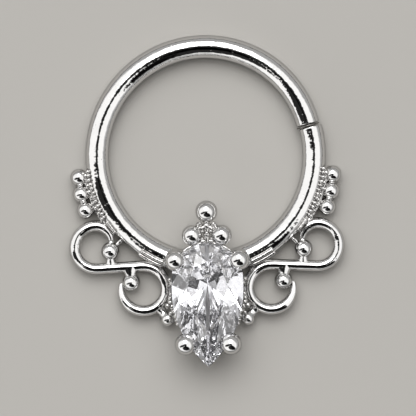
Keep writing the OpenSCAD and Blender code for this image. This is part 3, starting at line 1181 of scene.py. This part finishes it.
@dataclass
class ScrollBeads:
    """The beads on the scroll and beside the stone, each with the solder that holds it.

    Args:
        scroll: The scroll.
        upper_d: Diameter of the bead at the end of the upper loop.
        upper_in: How far it stands in from the curl's outermost middle line.
        upper_drop: Room between the curl's centre and the bead.
        upper_collar: Its solder.
        tip_d: Diameter of the granule between the curl's end and the bead.
        tip_drop: How far in plan the granule stands past the curl's end.
        tip_up: How far it stands over the middle of the wire.
        lower_d: Diameter of the bead inside the lower loop.
        lower_in: How far it stands in from the loop's middle line.
        lower_angle: Its angle in the loop.
        lower_collar: Its solder.
        lower_link: Diameter of the rod from it to the lower loop's end.
        low_d: Diameter of the small bead between the lower loop and the stone.
        low_gap: Room between it and the stone's outline.
        low_drop: How far it stands below the lower loop's middle line.
        low_waist: Radius of its solder where it is thinnest.
        low_flare: How much wider that solder spreads along the loop.
        low_stay: The rod from it to the setting.
        ripple: Unevenness of the two larger beads.
        low_ripple: Unevenness of the small bead.
        tip_ripple: Unevenness of the granule.
    """

    scroll: Scroll
    upper_d: float = 0.94
    upper_in: float = 0.05
    upper_drop: float = 0.075
    upper_collar: Collar = Collar(0.35, 0.23, 0.44)
    tip_d: float = 0.31
    tip_drop: float = 0.06
    tip_up: float = 0.06
    lower_d: float = 0.94
    lower_in: float = 0.45
    lower_angle: float = 26.7
    lower_collar: Collar = Collar(0.3, 0.3, 0.55)
    lower_link: float = 0.2
    low_d: float = 0.75
    low_gap: float = 0.09
    low_drop: float = 0.44
    low_waist: float = 0.19
    low_flare: float = 0.5
    low_stay: Stay = Stay(0.34, 0.27)
    ripple: Ripple = Ripple(0.005, 0.5)
    low_ripple: Ripple = Ripple(0.004, 0.5)
    tip_ripple: Ripple = Ripple(0.012, 0.3)

    @property
    def upper_c(self) -> np.ndarray:
        """Centre of the upper bead in plan."""
        drop = self.upper_d / 2 + self.upper_drop
        return self.scroll.curl_c + [self.upper_in - self.scroll.curl_r, -drop]

    def upper(self) -> list[Shell]:
        """The upper bead.

        Returns:
            The shells of the bead, its solder and the granule at the curl's end.
        """
        scroll = self.scroll
        centre = lift(self.upper_c, scroll.z)
        tip = lift(scroll.curl_tip + polar(self.tip_drop, -90), scroll.z + self.tip_up)
        return [ball(centre, self.upper_d).wavy(self.ripple, 1.0),
                self.upper_collar.shell(centre, scroll.foot(self.upper_c), scroll.along),
                granule(tip, self.tip_d).wavy(self.tip_ripple, 8.0)]

    def lower(self) -> list[Shell]:
        """The lower bead.

        Returns:
            The shells of the bead, its solder and its link to the lower loop's end.
        """
        scroll = self.scroll
        place = scroll.lower_c + polar(scroll.lower_r - self.lower_in, self.lower_angle)
        centre = lift(place, scroll.z)
        return [ball(centre, self.lower_d).wavy(self.ripple, 2.0),
                self.lower_collar.shell(centre, scroll.foot(place), scroll.along),
                rod(centre, lift(scroll.lower_tip, scroll.z), self.lower_link, self.lower_link)]

    def low(self) -> list[Shell]:
        """The small bead between the lower loop and the stone.

        Returns:
            The shells of the bead, its solder on the loop and its stay.
        """
        scroll = self.scroll
        y = scroll.lower_c[1] - scroll.lower_r - self.low_drop
        outline_x = DATUM.pear.half_width(y)
        place = np.array([outline_x + self.low_gap + self.low_d / 2, y])
        centre = lift(place, scroll.z)
        away = unit(place - scroll.lower_c)
        on_loop = lift(scroll.lower_c + scroll.lower_r * away, scroll.z)
        along = lift(np.array([-away[1], away[0]]), 0)
        return [ball(centre, self.low_d).wavy(self.low_ripple, 3.0),
                neck(centre, self.low_d / 2, on_loop, scroll.wire / 2, self.low_waist,
                     self.low_flare, along),
                self.low_stay.shell(place, outline_x)]


@dataclass
class BeadRow:
    """The row of beads beside the hoop, soldered to each other and to the hoop.

    Args:
        hoop: The hoop.
        d: Diameter of a bead.
        count: Number of beads.
        start: Angle of the first bead below the hoop's side.
        flare: How much further out than the last bead the next one stands.
        seat: Depth that the beads are let into each other.
        bead_waist: Radius of the solder between two beads.
        hoop_waist: Radius of the solder between a bead and the hoop.
        ripple: Unevenness of the beads.
    """

    hoop: Hoop
    d: float = 0.9
    count: int = 3
    start: float = 9.2
    flare: float = 0.09
    seat: float = 0.04
    bead_waist: float = 0.16
    hoop_waist: float = 0.2
    ripple: Ripple = Ripple(0.006, 0.5)

    def centres(self) -> list[np.ndarray]:
        """The beads' centres.

        Returns:
            One point for each bead, from the top down.
        """
        centres = []
        for i in range(self.count):
            r = self.hoop.outer_r + self.d / 2 - self.seat / 2 + self.flare * i
            step = math.degrees((self.d - self.seat) / r)
            centres.append(lift(polar(r, -self.start - step * i), self.hoop.wire_r))
        return centres

    def shells(self) -> list[Shell]:
        """The beads and their solder.

        Returns:
            One shell for each bead and each neck of solder.
        """
        centres, r = self.centres(), self.d / 2
        shells = [ball(c, self.d).wavy(self.ripple, 4.0 + i) for i, c in enumerate(centres)]
        for a, b in zip(centres, centres[1:]):
            shells.append(neck(a, r, b, r, self.bead_waist))
        for c in centres:
            on_hoop = self.hoop.toward(c[:2], self.hoop.wire_r)
            shells.append(neck(c, r, on_hoop, self.hoop.wire_r, self.hoop_waist))
        return shells


@dataclass(frozen=True)
class LaidWire:
    """A fine wire laid along the hoop.

    Args:
        rise: Angle round the hoop's wire where it lies.
        d: Its diameter.
        start: Angle below the hoop's side where it starts.
        end: Angle below the hoop's side where it ends.
    """

    rise: float
    d: float
    start: float
    end: float

    def shell(self, hoop: Hoop) -> Shell:
        """The wire with its thinned ends.

        Args:
            hoop: The hoop.

        Returns:
            The wire's shell.
        """
        radius, z = hoop.surface(self.rise, self.d)
        path = arc(np.zeros(2), radius, -self.start, -self.end, 40)
        radii = np.full(len(path), self.d / 2)
        radii[[0, -1]] *= 0.6
        radii[[1, -2]] *= 0.9
        return tube(np.column_stack([path, np.full(len(path), z)]), radii, 20)


@dataclass(frozen=True)
class LaidGranules:
    """A row of granules laid along the hoop by hand, so that none sits quite in line.

    Args:
        rise: Angle round the hoop's wire where they lie.
        d: Diameter of a granule.
        pitch: Distance between granules.
        start: Angle below the hoop's side where the row starts.
        end: Angle below the hoop's side where the row ends.
        seed: Where in the noise their unevenness lies.
        shift: How far along the hoop the row is moved on.
        out_of_line: How far a granule may stand out of the row.
        out_of_step: How far it may stand along the row, as a share of a step.
        up: How far it may stand up.
        odd_size: How far its size may differ, as a share.
        ripple: Unevenness of a granule.
    """

    rise: float
    d: float
    pitch: float
    start: float
    end: float
    seed: float
    shift: float = 0.0
    out_of_line: float = 0.06
    out_of_step: float = 0.25
    up: float = 0.05
    odd_size: float = 0.3
    ripple: Ripple = Ripple(0.02, 0.3)

    def shells(self, hoop: Hoop) -> list[Shell]:
        """The granules.

        Args:
            hoop: The hoop.

        Returns:
            One shell for each granule.
        """
        radius, z = hoop.surface(self.rise, self.d)
        step = math.degrees(self.pitch / radius)
        start = self.start + math.degrees(self.shift / hoop.outer_r)
        # So far apart in the noise, neighbours sway each in their own way.
        apart, depth = 7.3, 0.5
        shells = []
        for a in np.arange(start, self.end, step):
            sway = noise.noise_vector(Vector((apart * a, self.seed, depth)))
            angle = -a - self.out_of_step * step * sway.y
            place = lift(polar(radius + self.out_of_line * sway.x, angle), z + self.up * sway.z)
            size = self.d * (1 + self.odd_size * sway.y)
            shells.append(granule(place, size).wavy(self.ripple, self.seed + a))
        return shells


@dataclass
class GranuleStrip:
    """The fine wires and granules between the bead row and the hoop, and in the lower corner.

    Args:
        hoop: The hoop.
        wires: The wires beside the granules.
        rows: The rows of granules.
        corner: The wires in the corner over the scroll.
    """

    hoop: Hoop
    wires: tuple[LaidWire, ...] = (LaidWire(7, 0.26, 7.5, 40), LaidWire(38, 0.2, 33, 40))
    rows: tuple[LaidGranules, ...] = (
        LaidGranules(20, 0.28, 0.3, 7, 32, seed=6.0, shift=0.18),
        LaidGranules(40, 0.22, 0.23, 7, 32, seed=7.0),
        LaidGranules(30, 0.18, 0.19, 8, 30, seed=9.0),
    )
    corner: tuple[LaidWire, ...] = (LaidWire(39, 0.2, 55, 68), LaidWire(60, 0.2, 55, 68))

    def strip(self) -> list[Shell]:
        """The wires and granules beside the bead row."""
        rows = [shell for row in self.rows for shell in row.shells(self.hoop)]
        return [wire.shell(self.hoop) for wire in self.wires] + rows

    def corner_wires(self) -> list[Shell]:
        """The wires in the corner."""
        return [wire.shell(self.hoop) for wire in self.corner]


@dataclass
class WingSolder:
    """The solder that joins the wing to the hoop and to the setting.

    Args:
        beads: The beads on the scroll.
        link_d: Diameter of the link from the upper bead to the hoop.
        link_low: Height of that link, as a share of the scroll's.
        curl_angle: Where on the curl the solder to the hoop starts.
        curl_d: Diameter of that solder.
        loop_stay: The rod from the lower loop to the setting.
        lumps: Height in plan over the lower loop's centre, distance outside the stone's outline
            and diameter of each lump beside the stone.
        lump_z: Height of the lumps.
        lump_sway: How far a lump may stand higher or lower.
        ripple: Unevenness of the lumps.
    """

    beads: ScrollBeads
    link_d: float = 0.24
    link_low: float = 0.8
    curl_angle: float = 150
    curl_d: float = 0.36
    loop_stay: Stay = Stay(0.36, 0.29)
    lumps: tuple[tuple[float, float, float], ...] = (
        (0.42, 0.1, 0.3), (0.26, 0.03, 0.26), (-0.3, 0.05, 0.26), (-0.5, 0.1, 0.3),
        (-0.72, 0.12, 0.32), (-0.9, 0.3, 0.3), (-0.96, 0.06, 0.3), (-1.18, 0.02, 0.3),
        (-1.3, 0.22, 0.26), (-1.45, 0.0, 0.28), (-1.66, 0.02, 0.26), (-1.84, 0.05, 0.24))
    lump_z: float = 1.0
    lump_sway: float = 0.1
    ripple: Ripple = Ripple(0.035, 0.25)

    def beside_stone(self) -> list[Shell]:
        """The lumps between the lower loop and the setting, over and under where they meet.

        Returns:
            One shell for each lump.
        """
        shells = []
        for i, (up, out, d) in enumerate(self.lumps):
            y = self.beads.scroll.lower_c[1] + up
            z = self.lump_z + self.lump_sway * math.sin(3.0 * i)
            place = np.array([DATUM.pear.half_width(y) + out, y, z])
            shells.append(granule(place, d).wavy(self.ripple, 30.0 + i))
        return shells

    def joints(self) -> list[Shell]:
        """The solder from the upper bead and the curl to the hoop, and from the loop to the setting.

        Returns:
            One shell for each joint.
        """
        scroll, bead = self.beads.scroll, self.beads.upper_c
        link_z = scroll.z * self.link_low
        curl = scroll.curl_c + polar(scroll.curl_r, self.curl_angle)
        return [
            rod(lift(bead, link_z), scroll.hoop.toward(bead, link_z), self.link_d, self.link_d),
            rod(lift(curl, scroll.z), scroll.hoop.toward(curl, scroll.z), self.curl_d, self.curl_d),
            self.loop_stay.shell(scroll.lower_c - [scroll.lower_r, 0], DATUM.pear.radius),
        ]


@dataclass
class Wing:
    """One wing: an S-scroll with its beads, a row of beads and the granules beside the hoop.

    Args:
        side: Which wing it is.
        scroll: Its scroll, as the right-hand side has it.
    """

    side: Side
    scroll: Scroll

    def make(self, name: str, shells: list[Shell], finish: SteelFinish) -> bpy.types.Object:
        """A piece of this wing.

        Args:
            name: The piece's name without its side.
            shells: Its shells, for the right-hand side.
            finish: Its metal.

        Returns:
            The piece.
        """
        full_name = f"{name}_{self.side.name.lower()}"
        return make_piece(full_name, Shell.joined(shells).mirrored(self.side), finish)

    def build(self) -> None:
        """Makes all the pieces of the wing."""
        hoop = self.scroll.hoop
        beads = ScrollBeads(self.scroll)
        strip = GranuleStrip(hoop)
        solder = WingSolder(beads)
        self.make("scroll", [self.scroll.shell()], WIRE_STEEL)
        self.make("upper_bead", beads.upper(), BEAD_STEEL)
        self.make("lower_bead", beads.lower(), BEAD_STEEL)
        self.make("low_bead", beads.low(), BEAD_STEEL)
        self.make("bead_row", BeadRow(hoop).shells(), BEAD_STEEL)
        self.make("granule_strip", strip.strip(), FINE_STEEL)
        self.make("corner_wires", strip.corner_wires(), FINE_STEEL)
        self.make("stone_solder", solder.beside_stone(), FINE_STEEL)
        self.make("wing_solder", solder.joints(), FINE_STEEL)


@dataclass
class Basket:
    """The stone's setting: base band, seat rail, posts and four ball prongs.

    Args:
        base_h: Height of the base band.
        wall: Wall of band and rail.
        base_inset: Inset of the base band from the stone's outline.
        seat_inset: Inset of the seat rail from the stone's outline.
        seat_h: Height of the seat rail.
        edge_round: Rounding of the edges of band and rail.
        girdle_h: Thickness of the stone's girdle.
        post_d: Diameter of the posts.
        post_normals: Directions that the outline faces at the posts on head and sides.
        tip_post_foot: Distance of the tip post's foot from the stone's tip.
        tip_post_head: Distance of the tip post's head from the stone's tip.
        prong_d: Diameter of the prong wires.
        prong_ball: Diameter of their balls.
        prong_rise: Height of the balls' centres above the girdle's upper edge.
        upper_angle: Angle of the upper prongs on the stone's head.
        lower_angle: Angle of the lower prongs on the stone's side arcs.
        upper_out: Distance of the upper balls' centres outside the stone's outline.
        lower_out: Distance of the lower balls' centres outside the stone's outline.
        ripple: Unevenness of the balls.
    """

    base_h: float = 0.5
    wall: float = 0.32
    base_inset: float = 0.12
    seat_inset: float = 0.06
    seat_h: float = 0.42
    edge_round: float = 0.06
    girdle_h: float = 0.12
    post_d: float = 0.36
    post_normals: tuple[float, ...] = (90, 0, 180)
    tip_post_foot: float = 0.55
    tip_post_head: float = 0.5
    prong_d: float = 0.5
    prong_ball: float = 1.12
    prong_rise: float = 0.05
    upper_angle: float = 30.6
    lower_angle: float = 32
    upper_out: float = 0.07
    lower_out: float = 0.13
    ripple: Ripple = Ripple(0.005, 0.6)

    @property
    def seat_z(self) -> float:
        """Lowest height of the seat rail."""
        return DATUM.girdle_top - self.girdle_h - self.seat_h

    def band(self, inset: float, z: float, height: float) -> Shell:
        """A flat band with rounded edges that follows the stone's outline.

        Args:
            inset: Distance of its outer side inside the outline.
            z: Its lowest height.
            height: Its height.

        Returns:
            The band's shell.
        """
        r = self.edge_round
        corners = [(r, r, 180), (self.wall - r, r, 270), (self.wall - r, height - r, 0),
                   (r, height - r, 90)]
        section = [np.array([across, up]) + polar(r, start + turn)
                   for across, up, start in corners for turn in (0, 30, 60, 90)]
        outlines = [DATUM.pear.outline(inset + across) for across, _ in section]
        rings = [np.column_stack([outline, np.full(len(outline), z + up)])
                 for outline, (_, up) in zip(outlines, section)]
        count = len(rings[0])
        faces = []
        for k in range(len(rings)):
            n = (k + 1) % len(rings)
            for i in range(count):
                j = (i + 1) % count
                faces.append((k * count + i, k * count + j, n * count + j, n * count + i))
        return Shell(np.vstack(rings), faces)

    def posts(self) -> list[Shell]:
        """The posts between the base band and the seat rail.

        Returns:
            One shell for each post.
        """
        low, high = self.base_h / 2, self.seat_z + self.seat_h / 2
        feet = [DATUM.pear.edge(n, self.base_inset + self.wall / 2) for n in self.post_normals]
        ends = [(lift(foot, low), lift(foot, high)) for foot in feet]
        tip = DATUM.pear.tip_y
        ends.append((np.array([0, tip + self.tip_post_foot, low]),
                     np.array([0, tip + self.tip_post_head, high])))
        return [rod(foot, head, self.post_d, self.post_d) for foot, head in ends]

    def prong(self, normal: float, out: float) -> list[Shell]:
        """A leaning prong wire with its ball.

        Args:
            normal: Direction that the outline faces at the prong.
            out: Distance of the ball's centre outside the outline.

        Returns:
            The shells of wire and ball.
        """
        foot = lift(DATUM.pear.edge(normal, self.base_inset + self.wall / 2), self.base_h / 2)
        top = lift(DATUM.pear.edge(normal, -out), DATUM.girdle_top + self.prong_rise)
        return [rod(foot, top, self.prong_d, self.prong_d),
                ball(top, self.prong_ball, 5).wavy(self.ripple, normal)]

    def build(self, cutter: SeatCutter) -> None:
        """Makes band, rail, posts and prongs, cut for the stone.

        Args:
            cutter: The stone's room.
        """
        base = self.band(self.base_inset, 0, self.base_h)
        seat = self.band(self.seat_inset, self.seat_z, self.seat_h)
        make_piece("base_band", base, WIRE_STEEL, sharp=50)
        make_piece("seat_rail", seat, WIRE_STEEL, sharp=50, cutter=cutter)
        make_piece("basket_posts", Shell.joined(self.posts()), WIRE_STEEL, cutter=cutter)
        prongs = {"upper": (self.upper_angle, self.upper_out),
                  "lower": (360 - self.lower_angle, self.lower_out)}
        for place, (normal, out) in prongs.items():
            for side in Side:
                shell = Shell.joined(self.prong(normal, out)).mirrored(side)
                make_piece(f"prong_{place}_{side.name.lower()}", shell, BEAD_STEEL, cutter=cutter)


@dataclass
class Trefoil:
    """The bead trefoil over the stone's head, with the granules and solder that bind it.

    Args:
        drop: How far the beads' centres lie below the girdle's upper edge.
        top_d: Diameter of the top bead.
        top_up: How far it stands over the stone's head.
        side_d: Diameter of the side beads.
        side_x: How far a side bead stands from the middle line.
        side_up: How far it stands over the stone's head.
        middle_d: Diameter of the granule between the three beads.
        middle_low: How far it stands below half way between top and side beads.
        small_d: Diameter of the granules round it.
        small_up: How far the two upper ones stand over the line from it to a side bead.
        small_low: How far the lower one stands over the side beads' centres.
        tie: Diameter of the solder between the beads and the setting.
        tie_in: How far the middle tie ends inside the stone's head.
        rail_normal: Direction that the outline faces where a side bead's tie ends.
        rail_in: How far inside the outline it ends.
        rail_drop: How far below the girdle's upper edge it ends.
        foot_d: Diameter of the granules under the side beads.
        foot_x: How far they stand from the middle line.
        foot_low: How far they stand below the side beads' centres, in plan.
        foot_drop: How much lower than the beads' centres they lie.
        tab_half: Half the length of the tab between them.
        tab_up: How far the tab stands over the stone's head.
        tab_d: Diameter of the tab.
        tab_drop: How much lower than the beads' centres it lies.
        wire_d: Diameter of the wire round the stone's head.
        wire_span: Directions that the outline faces at that wire's ends.
        wire_out: How far it lies outside the stone's outline.
        wire_drop: How far it lies below the girdle's upper edge.
        ring_d: Diameter of the small granules round the middle one.
        ring_r: Radius of their ring.
        ring_up: How much higher than the beads' centres they lie.
        ring_count: Their number.
        ripple: Unevenness of the beads.
        fine_ripple: Unevenness of the small granules.
    """

    drop: float = 0.2
    top_d: float = 1.12
    top_up: float = 1.62
    side_d: float = 1.04
    side_x: float = 0.76
    side_up: float = 0.41
    middle_d: float = 0.42
    middle_low: float = 0.12
    small_d: float = 0.36
    small_up: float = 0.27
    small_low: float = 0.02
    tie: float = 0.3
    tie_in: float = 0.1
    rail_normal: float = 65
    rail_in: float = 0.22
    rail_drop: float = 0.22
    foot_d: float = 0.34
    foot_x: float = 0.31
    foot_low: float = 0.2
    foot_drop: float = 0.05
    tab_half: float = 0.34
    tab_up: float = 0.09
    tab_d: float = 0.27
    tab_drop: float = 0.04
    wire_d: float = 0.2
    wire_span: tuple[float, float] = (48, 132)
    wire_out: float = 0.02
    wire_drop: float = 0.24
    ring_d: float = 0.19
    ring_r: float = 0.36
    ring_up: float = 0.12
    ring_count: int = 10
    ripple: Ripple = Ripple(0.005, 0.6)
    fine_ripple: Ripple = Ripple(0.02, 0.3)

    @property
    def z(self) -> float:
        """Height of the beads' centres."""
        return DATUM.girdle_top - self.drop

    @property
    def top(self) -> np.ndarray:
        """Centre of the top bead."""
        return np.array([0, DATUM.pear.head_top + self.top_up, self.z])

    @property
    def right(self) -> np.ndarray:
        """Centre of the right-hand side bead."""
        return np.array([self.side_x, DATUM.pear.head_top + self.side_up, self.z])

    @property
    def middle(self) -> np.ndarray:
        """Centre of the granule between the beads."""
        return np.array([0, (self.top[1] + self.right[1]) / 2 - self.middle_low, self.z])

    def beads(self) -> list[Shell]:
        """The three beads.

        Returns:
            One shell for each bead.
        """
        return [ball(self.top, self.top_d, 5).wavy(self.ripple, 11.0),
                ball(self.right, self.side_d, 5).wavy(self.ripple, 12.0),
                ball(self.right * [-1, 1, 1], self.side_d, 5).wavy(self.ripple, 13.0)]

    def head_wire(self) -> Shell:
        """The wire round the stone's head, from one side bead to the other.

        Returns:
            The wire's shell.
        """
        z = DATUM.girdle_top - self.wire_drop
        path = [lift(DATUM.pear.edge(a, -self.wire_out), z) for a in np.linspace(*self.wire_span, 40)]
        radii = np.full(len(path), self.wire_d / 2)
        radii[[0, -1]] *= 0.5
        return tube(np.array(path), radii, 20)

    def middle_solder(self) -> list[Shell]:
        """The granules, tie, tab and wire on the middle line.

        Returns:
            One shell for each of them.
        """
        head = DATUM.pear.head_top
        tab = np.array([self.tab_half, head + self.tab_up, self.z - self.tab_drop])
        return [ball(self.middle, self.middle_d),
                ball(np.array([0, self.right[1] + self.small_low, self.z]), self.small_d),
                rod(self.top, np.array([0, head - self.tie_in, self.z]), self.tie, self.tie),
                rod(tab * [-1, 1, 1], tab, self.tab_d, self.tab_d),
                self.head_wire()]

    def side_solder(self, side: Side) -> list[Shell]:
        """The granules and ties of one side bead.

        Args:
            side: Which side.

        Returns:
            One shell for each of them.
        """
        flip = np.array([side.value, 1, 1])
        bead = self.right * flip
        rail = lift(DATUM.pear.edge(self.rail_normal, self.rail_in), DATUM.girdle_top - self.rail_drop)
        foot = np.array([self.foot_x, self.right[1] - self.foot_low, self.z - self.foot_drop])
        return [ball((self.middle + bead) / 2 + [0, self.small_up, 0], self.small_d),
                rod(bead, self.middle, self.tie, self.tie),
                rod(bead, rail * flip, self.tie, self.tie),
                granule(foot * flip, self.foot_d)]

    def ring(self) -> list[Shell]:
        """The small granules round the middle one.

        Returns:
            One shell for each granule.
        """
        shells = []
        step = 360 / self.ring_count
        for i in range(self.ring_count):
            place = self.middle[:2] + polar(self.ring_r, step * (i + 0.5))
            grain = granule(lift(place, self.z + self.ring_up), self.ring_d)
            shells.append(grain.wavy(self.fine_ripple, 20.0 + i))
        return shells

    def build(self, cutter: SeatCutter) -> None:
        """Makes the beads, and the granules and solder between them.

        Args:
            cutter: The stone's room.
        """
        sides = [shell for side in Side for shell in self.side_solder(side)]
        solder = Shell.joined(self.middle_solder() + sides + self.ring())
        make_piece("trefoil", Shell.joined(self.beads()), BEAD_STEEL)
        make_piece("trefoil_granules", solder, FINE_STEEL, cutter=cutter)


@dataclass
class PearStone:
    """The pear cut stone, whose facets are the CAD's own.

    Args:
        finish: Its finish.
    """

    finish: StoneFinish = CLEAR_STONE

    def build(self) -> None:
        """Dresses the CAD stone."""
        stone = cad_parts[STONE_NODE]
        stone.data.materials.clear()
        stone.data.materials.append(self.finish.material())
        LOG.info("%s: %d faces", STONE_NODE, len(stone.data.polygons))


@dataclass(frozen=True)
class TentPatch:
    """A patch of the light tent, as an ellipse on a mirror bead seen from above.

    Args:
        centre: Its centre, in bead radii.
        half: Half its length and half its width, in bead radii.
        turn: Direction of its length, in degrees.
        left: Share of the tent's light that is left in it.
        edge: Softness of its edge.
    """

    centre: tuple[float, float]
    half: tuple[float, float]
    turn: float
    left: float = 0.02
    edge: float = 0.07

    def past(self, build: NodeBuild, across: bpy.types.NodeSocket,
             up: bpy.types.NodeSocket) -> bpy.types.NodeSocket:
        """Whether a place is past the patch's edge.

        Args:
            build: The tent's nodes.
            across: The place on the bead, to the right.
            up: The place on the bead, upward.

        Returns:
            0 inside the patch and 1 outside.
        """
        turn = math.radians(self.turn)
        x = build.math("SUBTRACT", across, self.centre[0])
        y = build.math("SUBTRACT", up, self.centre[1])
        long = build.math("ADD", build.math("MULTIPLY", x, math.cos(turn) / self.half[0]),
                          build.math("MULTIPLY", y, math.sin(turn) / self.half[0]))
        wide = build.math("ADD", build.math("MULTIPLY", x, -math.sin(turn) / self.half[1]),
                          build.math("MULTIPLY", y, math.cos(turn) / self.half[1]))
        far = build.math("SQRT", build.math("ADD", build.math("MULTIPLY", long, long),
                                            build.math("MULTIPLY", wide, wide)))
        return build.ramp(far, 1 - self.edge, 1 + self.edge)


@dataclass(frozen=True)
class Lamp:
    """A round soft box.

    Args:
        name: Its name.
        size: Its width, in m.
        power: Its power, in W.
        mirrored: Whether it shows in the steel and through the stone.
    """

    name: str
    size: float
    power: float
    mirrored: bool

    def build(self, place: Vector) -> None:
        """Sets it up, turned to the ring.

        Args:
            place: Where it stands, in m from the ring.
        """
        light = bpy.data.lights.new(self.name, "AREA")
        light.shape = "DISK"
        light.size = self.size
        light.energy = self.power
        lamp = bpy.data.objects.new(self.name, light)
        lamp.location = place
        lamp.rotation_mode = "QUATERNION"
        lamp.rotation_quaternion = place.to_track_quat("Z", "Y")
        lamp.visible_glossy = self.mirrored
        lamp.visible_transmission = self.mirrored
        bpy.context.scene.collection.objects.link(lamp)


@dataclass
class Studio:
    """The pale floor, the light tent over it, its two lamps and the camera.

    Args:
        floor_grey: Colour of the floor.
        floor_half: Half its width, in m.
        frame_mm: Width of the picture at the floor.
        view: The picture's middle, from the hoop's centre.
        roll: Turn of the camera about its line of sight, in degrees.
        lens: Focal length of the camera.
        ambient: Share of the tent's light that falls on dull surfaces.
        tent_white: Colour of the tent's light.
        dome_light: Brightness of the dome.
        foot_light: Brightness of the tent round the dome.
        dome: The bright part of the tent.
        skirt_foot: Sine of the height where the tent is darkest.
        skirt_top: Sine of the height where it is fully bright.
        skirt_light: Share of its light that is left at the horizon.
        openings: The dark openings in it.
        lamp_place: Where the lamps stand, in m from the ring, beyond the hoop's top.
        lamps: The key lamp, and a broad one for the floor alone.
    """

    floor_grey: tuple[float, float, float] = (0.45, 0.435, 0.41)
    floor_half: float = 0.4
    frame_mm: float = 21.54
    view: tuple[float, float] = (0.085, -2.721)
    roll: float = -0.8
    lens: float = 300.0
    ambient: float = 0.3
    tent_white: tuple[float, float, float] = (1.0, 0.995, 0.985)
    dome_light: float = 1.3
    foot_light: float = 0.46
    dome: TentPatch = TentPatch((-0.1, -0.08), (0.62, 0.5), 0, edge=0.1)
    skirt_foot: float = 0.02
    skirt_top: float = 0.16
    skirt_light: float = 0.2
    openings: tuple[TentPatch, ...] = (
        TentPatch((-0.02, -0.05), (0.12, 0.1), 0),
        TentPatch((0.05, -0.33), (0.3, 0.19), -8),
        TentPatch((0.0, -0.17), (0.1, 0.1), 0),
        TentPatch((0.24, -0.35), (0.17, 0.12), -40, left=0.12),
        TentPatch((-0.29, -0.12), (0.25, 0.09), 20),
    )
    lamp_place: tuple[float, float, float] = (-0.05, 0.62, 1.03)
    lamps: tuple[Lamp, ...] = (Lamp("key", 0.9, 7.0, True), Lamp("broad_light", 2.0, 14.8, False))

    def build_floor(self) -> None:
        """The pale floor under the ring."""
        mesh = bpy.data.meshes.new("floor")
        half = self.floor_half
        mesh.from_pydata([(-half, -half, 0), (half, -half, 0), (half, half, 0), (-half, half, 0)],
                         [], [(0, 1, 2, 3)])
        floor = bpy.data.objects.new("floor", mesh)
        material = bpy.data.materials.new("pale_floor")
        material.use_nodes = True
        shader = material.node_tree.nodes["Principled BSDF"]
        shader.inputs["Base Color"].default_value = (*self.floor_grey, 1)
        shader.inputs["Roughness"].default_value = 1.0
        shader.inputs["Specular IOR Level"].default_value = 0.0
        mesh.materials.append(material)
        bpy.context.scene.collection.objects.link(floor)

    def build_tent(self) -> None:
        """The light tent: a bright dome with dark openings, darker towards the horizon.

        A direction's place on the mirror bead is its x and y over the root of 2 + 2 z.
        """
        world = bpy.data.worlds.new("light_tent")
        world.use_nodes = True
        bpy.context.scene.world = world
        build = NodeBuild(world.node_tree)
        parts = build.add("ShaderNodeSeparateXYZ")
        build.link(build.add("ShaderNodeTexCoord").outputs["Generated"], parts.inputs[0])
        spread = build.math("MULTIPLY_ADD", parts.outputs["Z"], 2.0, 2.0)
        spread = build.math("SQRT", build.math("MAXIMUM", spread, 0.0001))
        across = build.math("DIVIDE", parts.outputs["X"], spread)
        up = build.math("DIVIDE", parts.outputs["Y"], spread)
        lit = build.math("SUBTRACT", 1.0, self.dome.past(build, across, up))
        bright = build.math("MULTIPLY_ADD", lit, self.dome_light - self.foot_light, self.foot_light)
        for opening in self.openings:
            past = opening.past(build, across, up)
            left = build.math("MULTIPLY_ADD", past, 1 - opening.left, opening.left)
            bright = build.math("MULTIPLY", bright, left)
        skirt = build.ramp(parts.outputs["Z"], self.skirt_foot, self.skirt_top)
        skirt = build.math("MULTIPLY_ADD", skirt, 1 - self.skirt_light, self.skirt_light)
        bright = build.math("MULTIPLY", bright, skirt)
        dull = build.add("ShaderNodeLightPath").outputs["Is Diffuse Ray"]
        share = build.math("MULTIPLY_ADD", dull, self.ambient - 1, 1.0)
        shade = world.node_tree.nodes["Background"]
        shade.inputs["Color"].default_value = (*self.tent_white, 1)
        build.link(build.math("MULTIPLY", bright, share), shade.inputs["Strength"])

    def build_camera(self) -> None:
        """The camera, straight above the middle of the view."""
        data = bpy.data.cameras.new("camera")
        data.lens = self.lens
        half = data.sensor_width / 2 / data.lens
        camera = bpy.data.objects.new("camera", data)
        height = self.frame_mm * MM / 2 / half
        camera.location = (self.view[0] * MM, (self.view[1] + DATUM.hoop_y) * MM, height)
        camera.rotation_euler = (0, 0, math.radians(self.roll))
        data.clip_start, data.clip_end = height * 0.05, height * 20
        bpy.context.scene.collection.objects.link(camera)
        bpy.context.scene.camera = camera

    def build(self) -> None:
        """Makes the whole studio."""
        scene = bpy.context.scene
        scene.view_settings.view_transform = "Standard"
        scene.cycles.max_bounces = 24
        scene.cycles.glossy_bounces = 16
        scene.cycles.transmission_bounces = 20
        self.build_camera()
        self.build_floor()
        self.build_tent()
        for lamp in self.lamps:
            lamp.build(Vector(self.lamp_place))


def clear_start_up() -> None:
    """Takes Blender's start-up objects out of the scene."""
    for name in ("Cube", "Light", "Camera"):
        left = bpy.data.objects.get(name)
        if left:
            bpy.data.objects.remove(left)


def main() -> None:
    """Builds the studio and every sub-assembly in order."""
    logging.basicConfig(level=logging.INFO, format="%(message)s")
    # Without a seed the noise starts from the clock, and the shapes differ from run to run.
    noise.seed_set(NOISE_SEED)
    clear_start_up()
    Studio().build()
    cutter = SeatCutter()
    hoop = Hoop()
    hoop.build(cutter)
    scroll = Scroll(hoop)
    for side in Side:
        Wing(side, scroll).build()
    Basket().build(cutter)
    Trefoil().build(cutter)
    PearStone().build()
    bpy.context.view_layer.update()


if __name__ == "__main__":
    main()
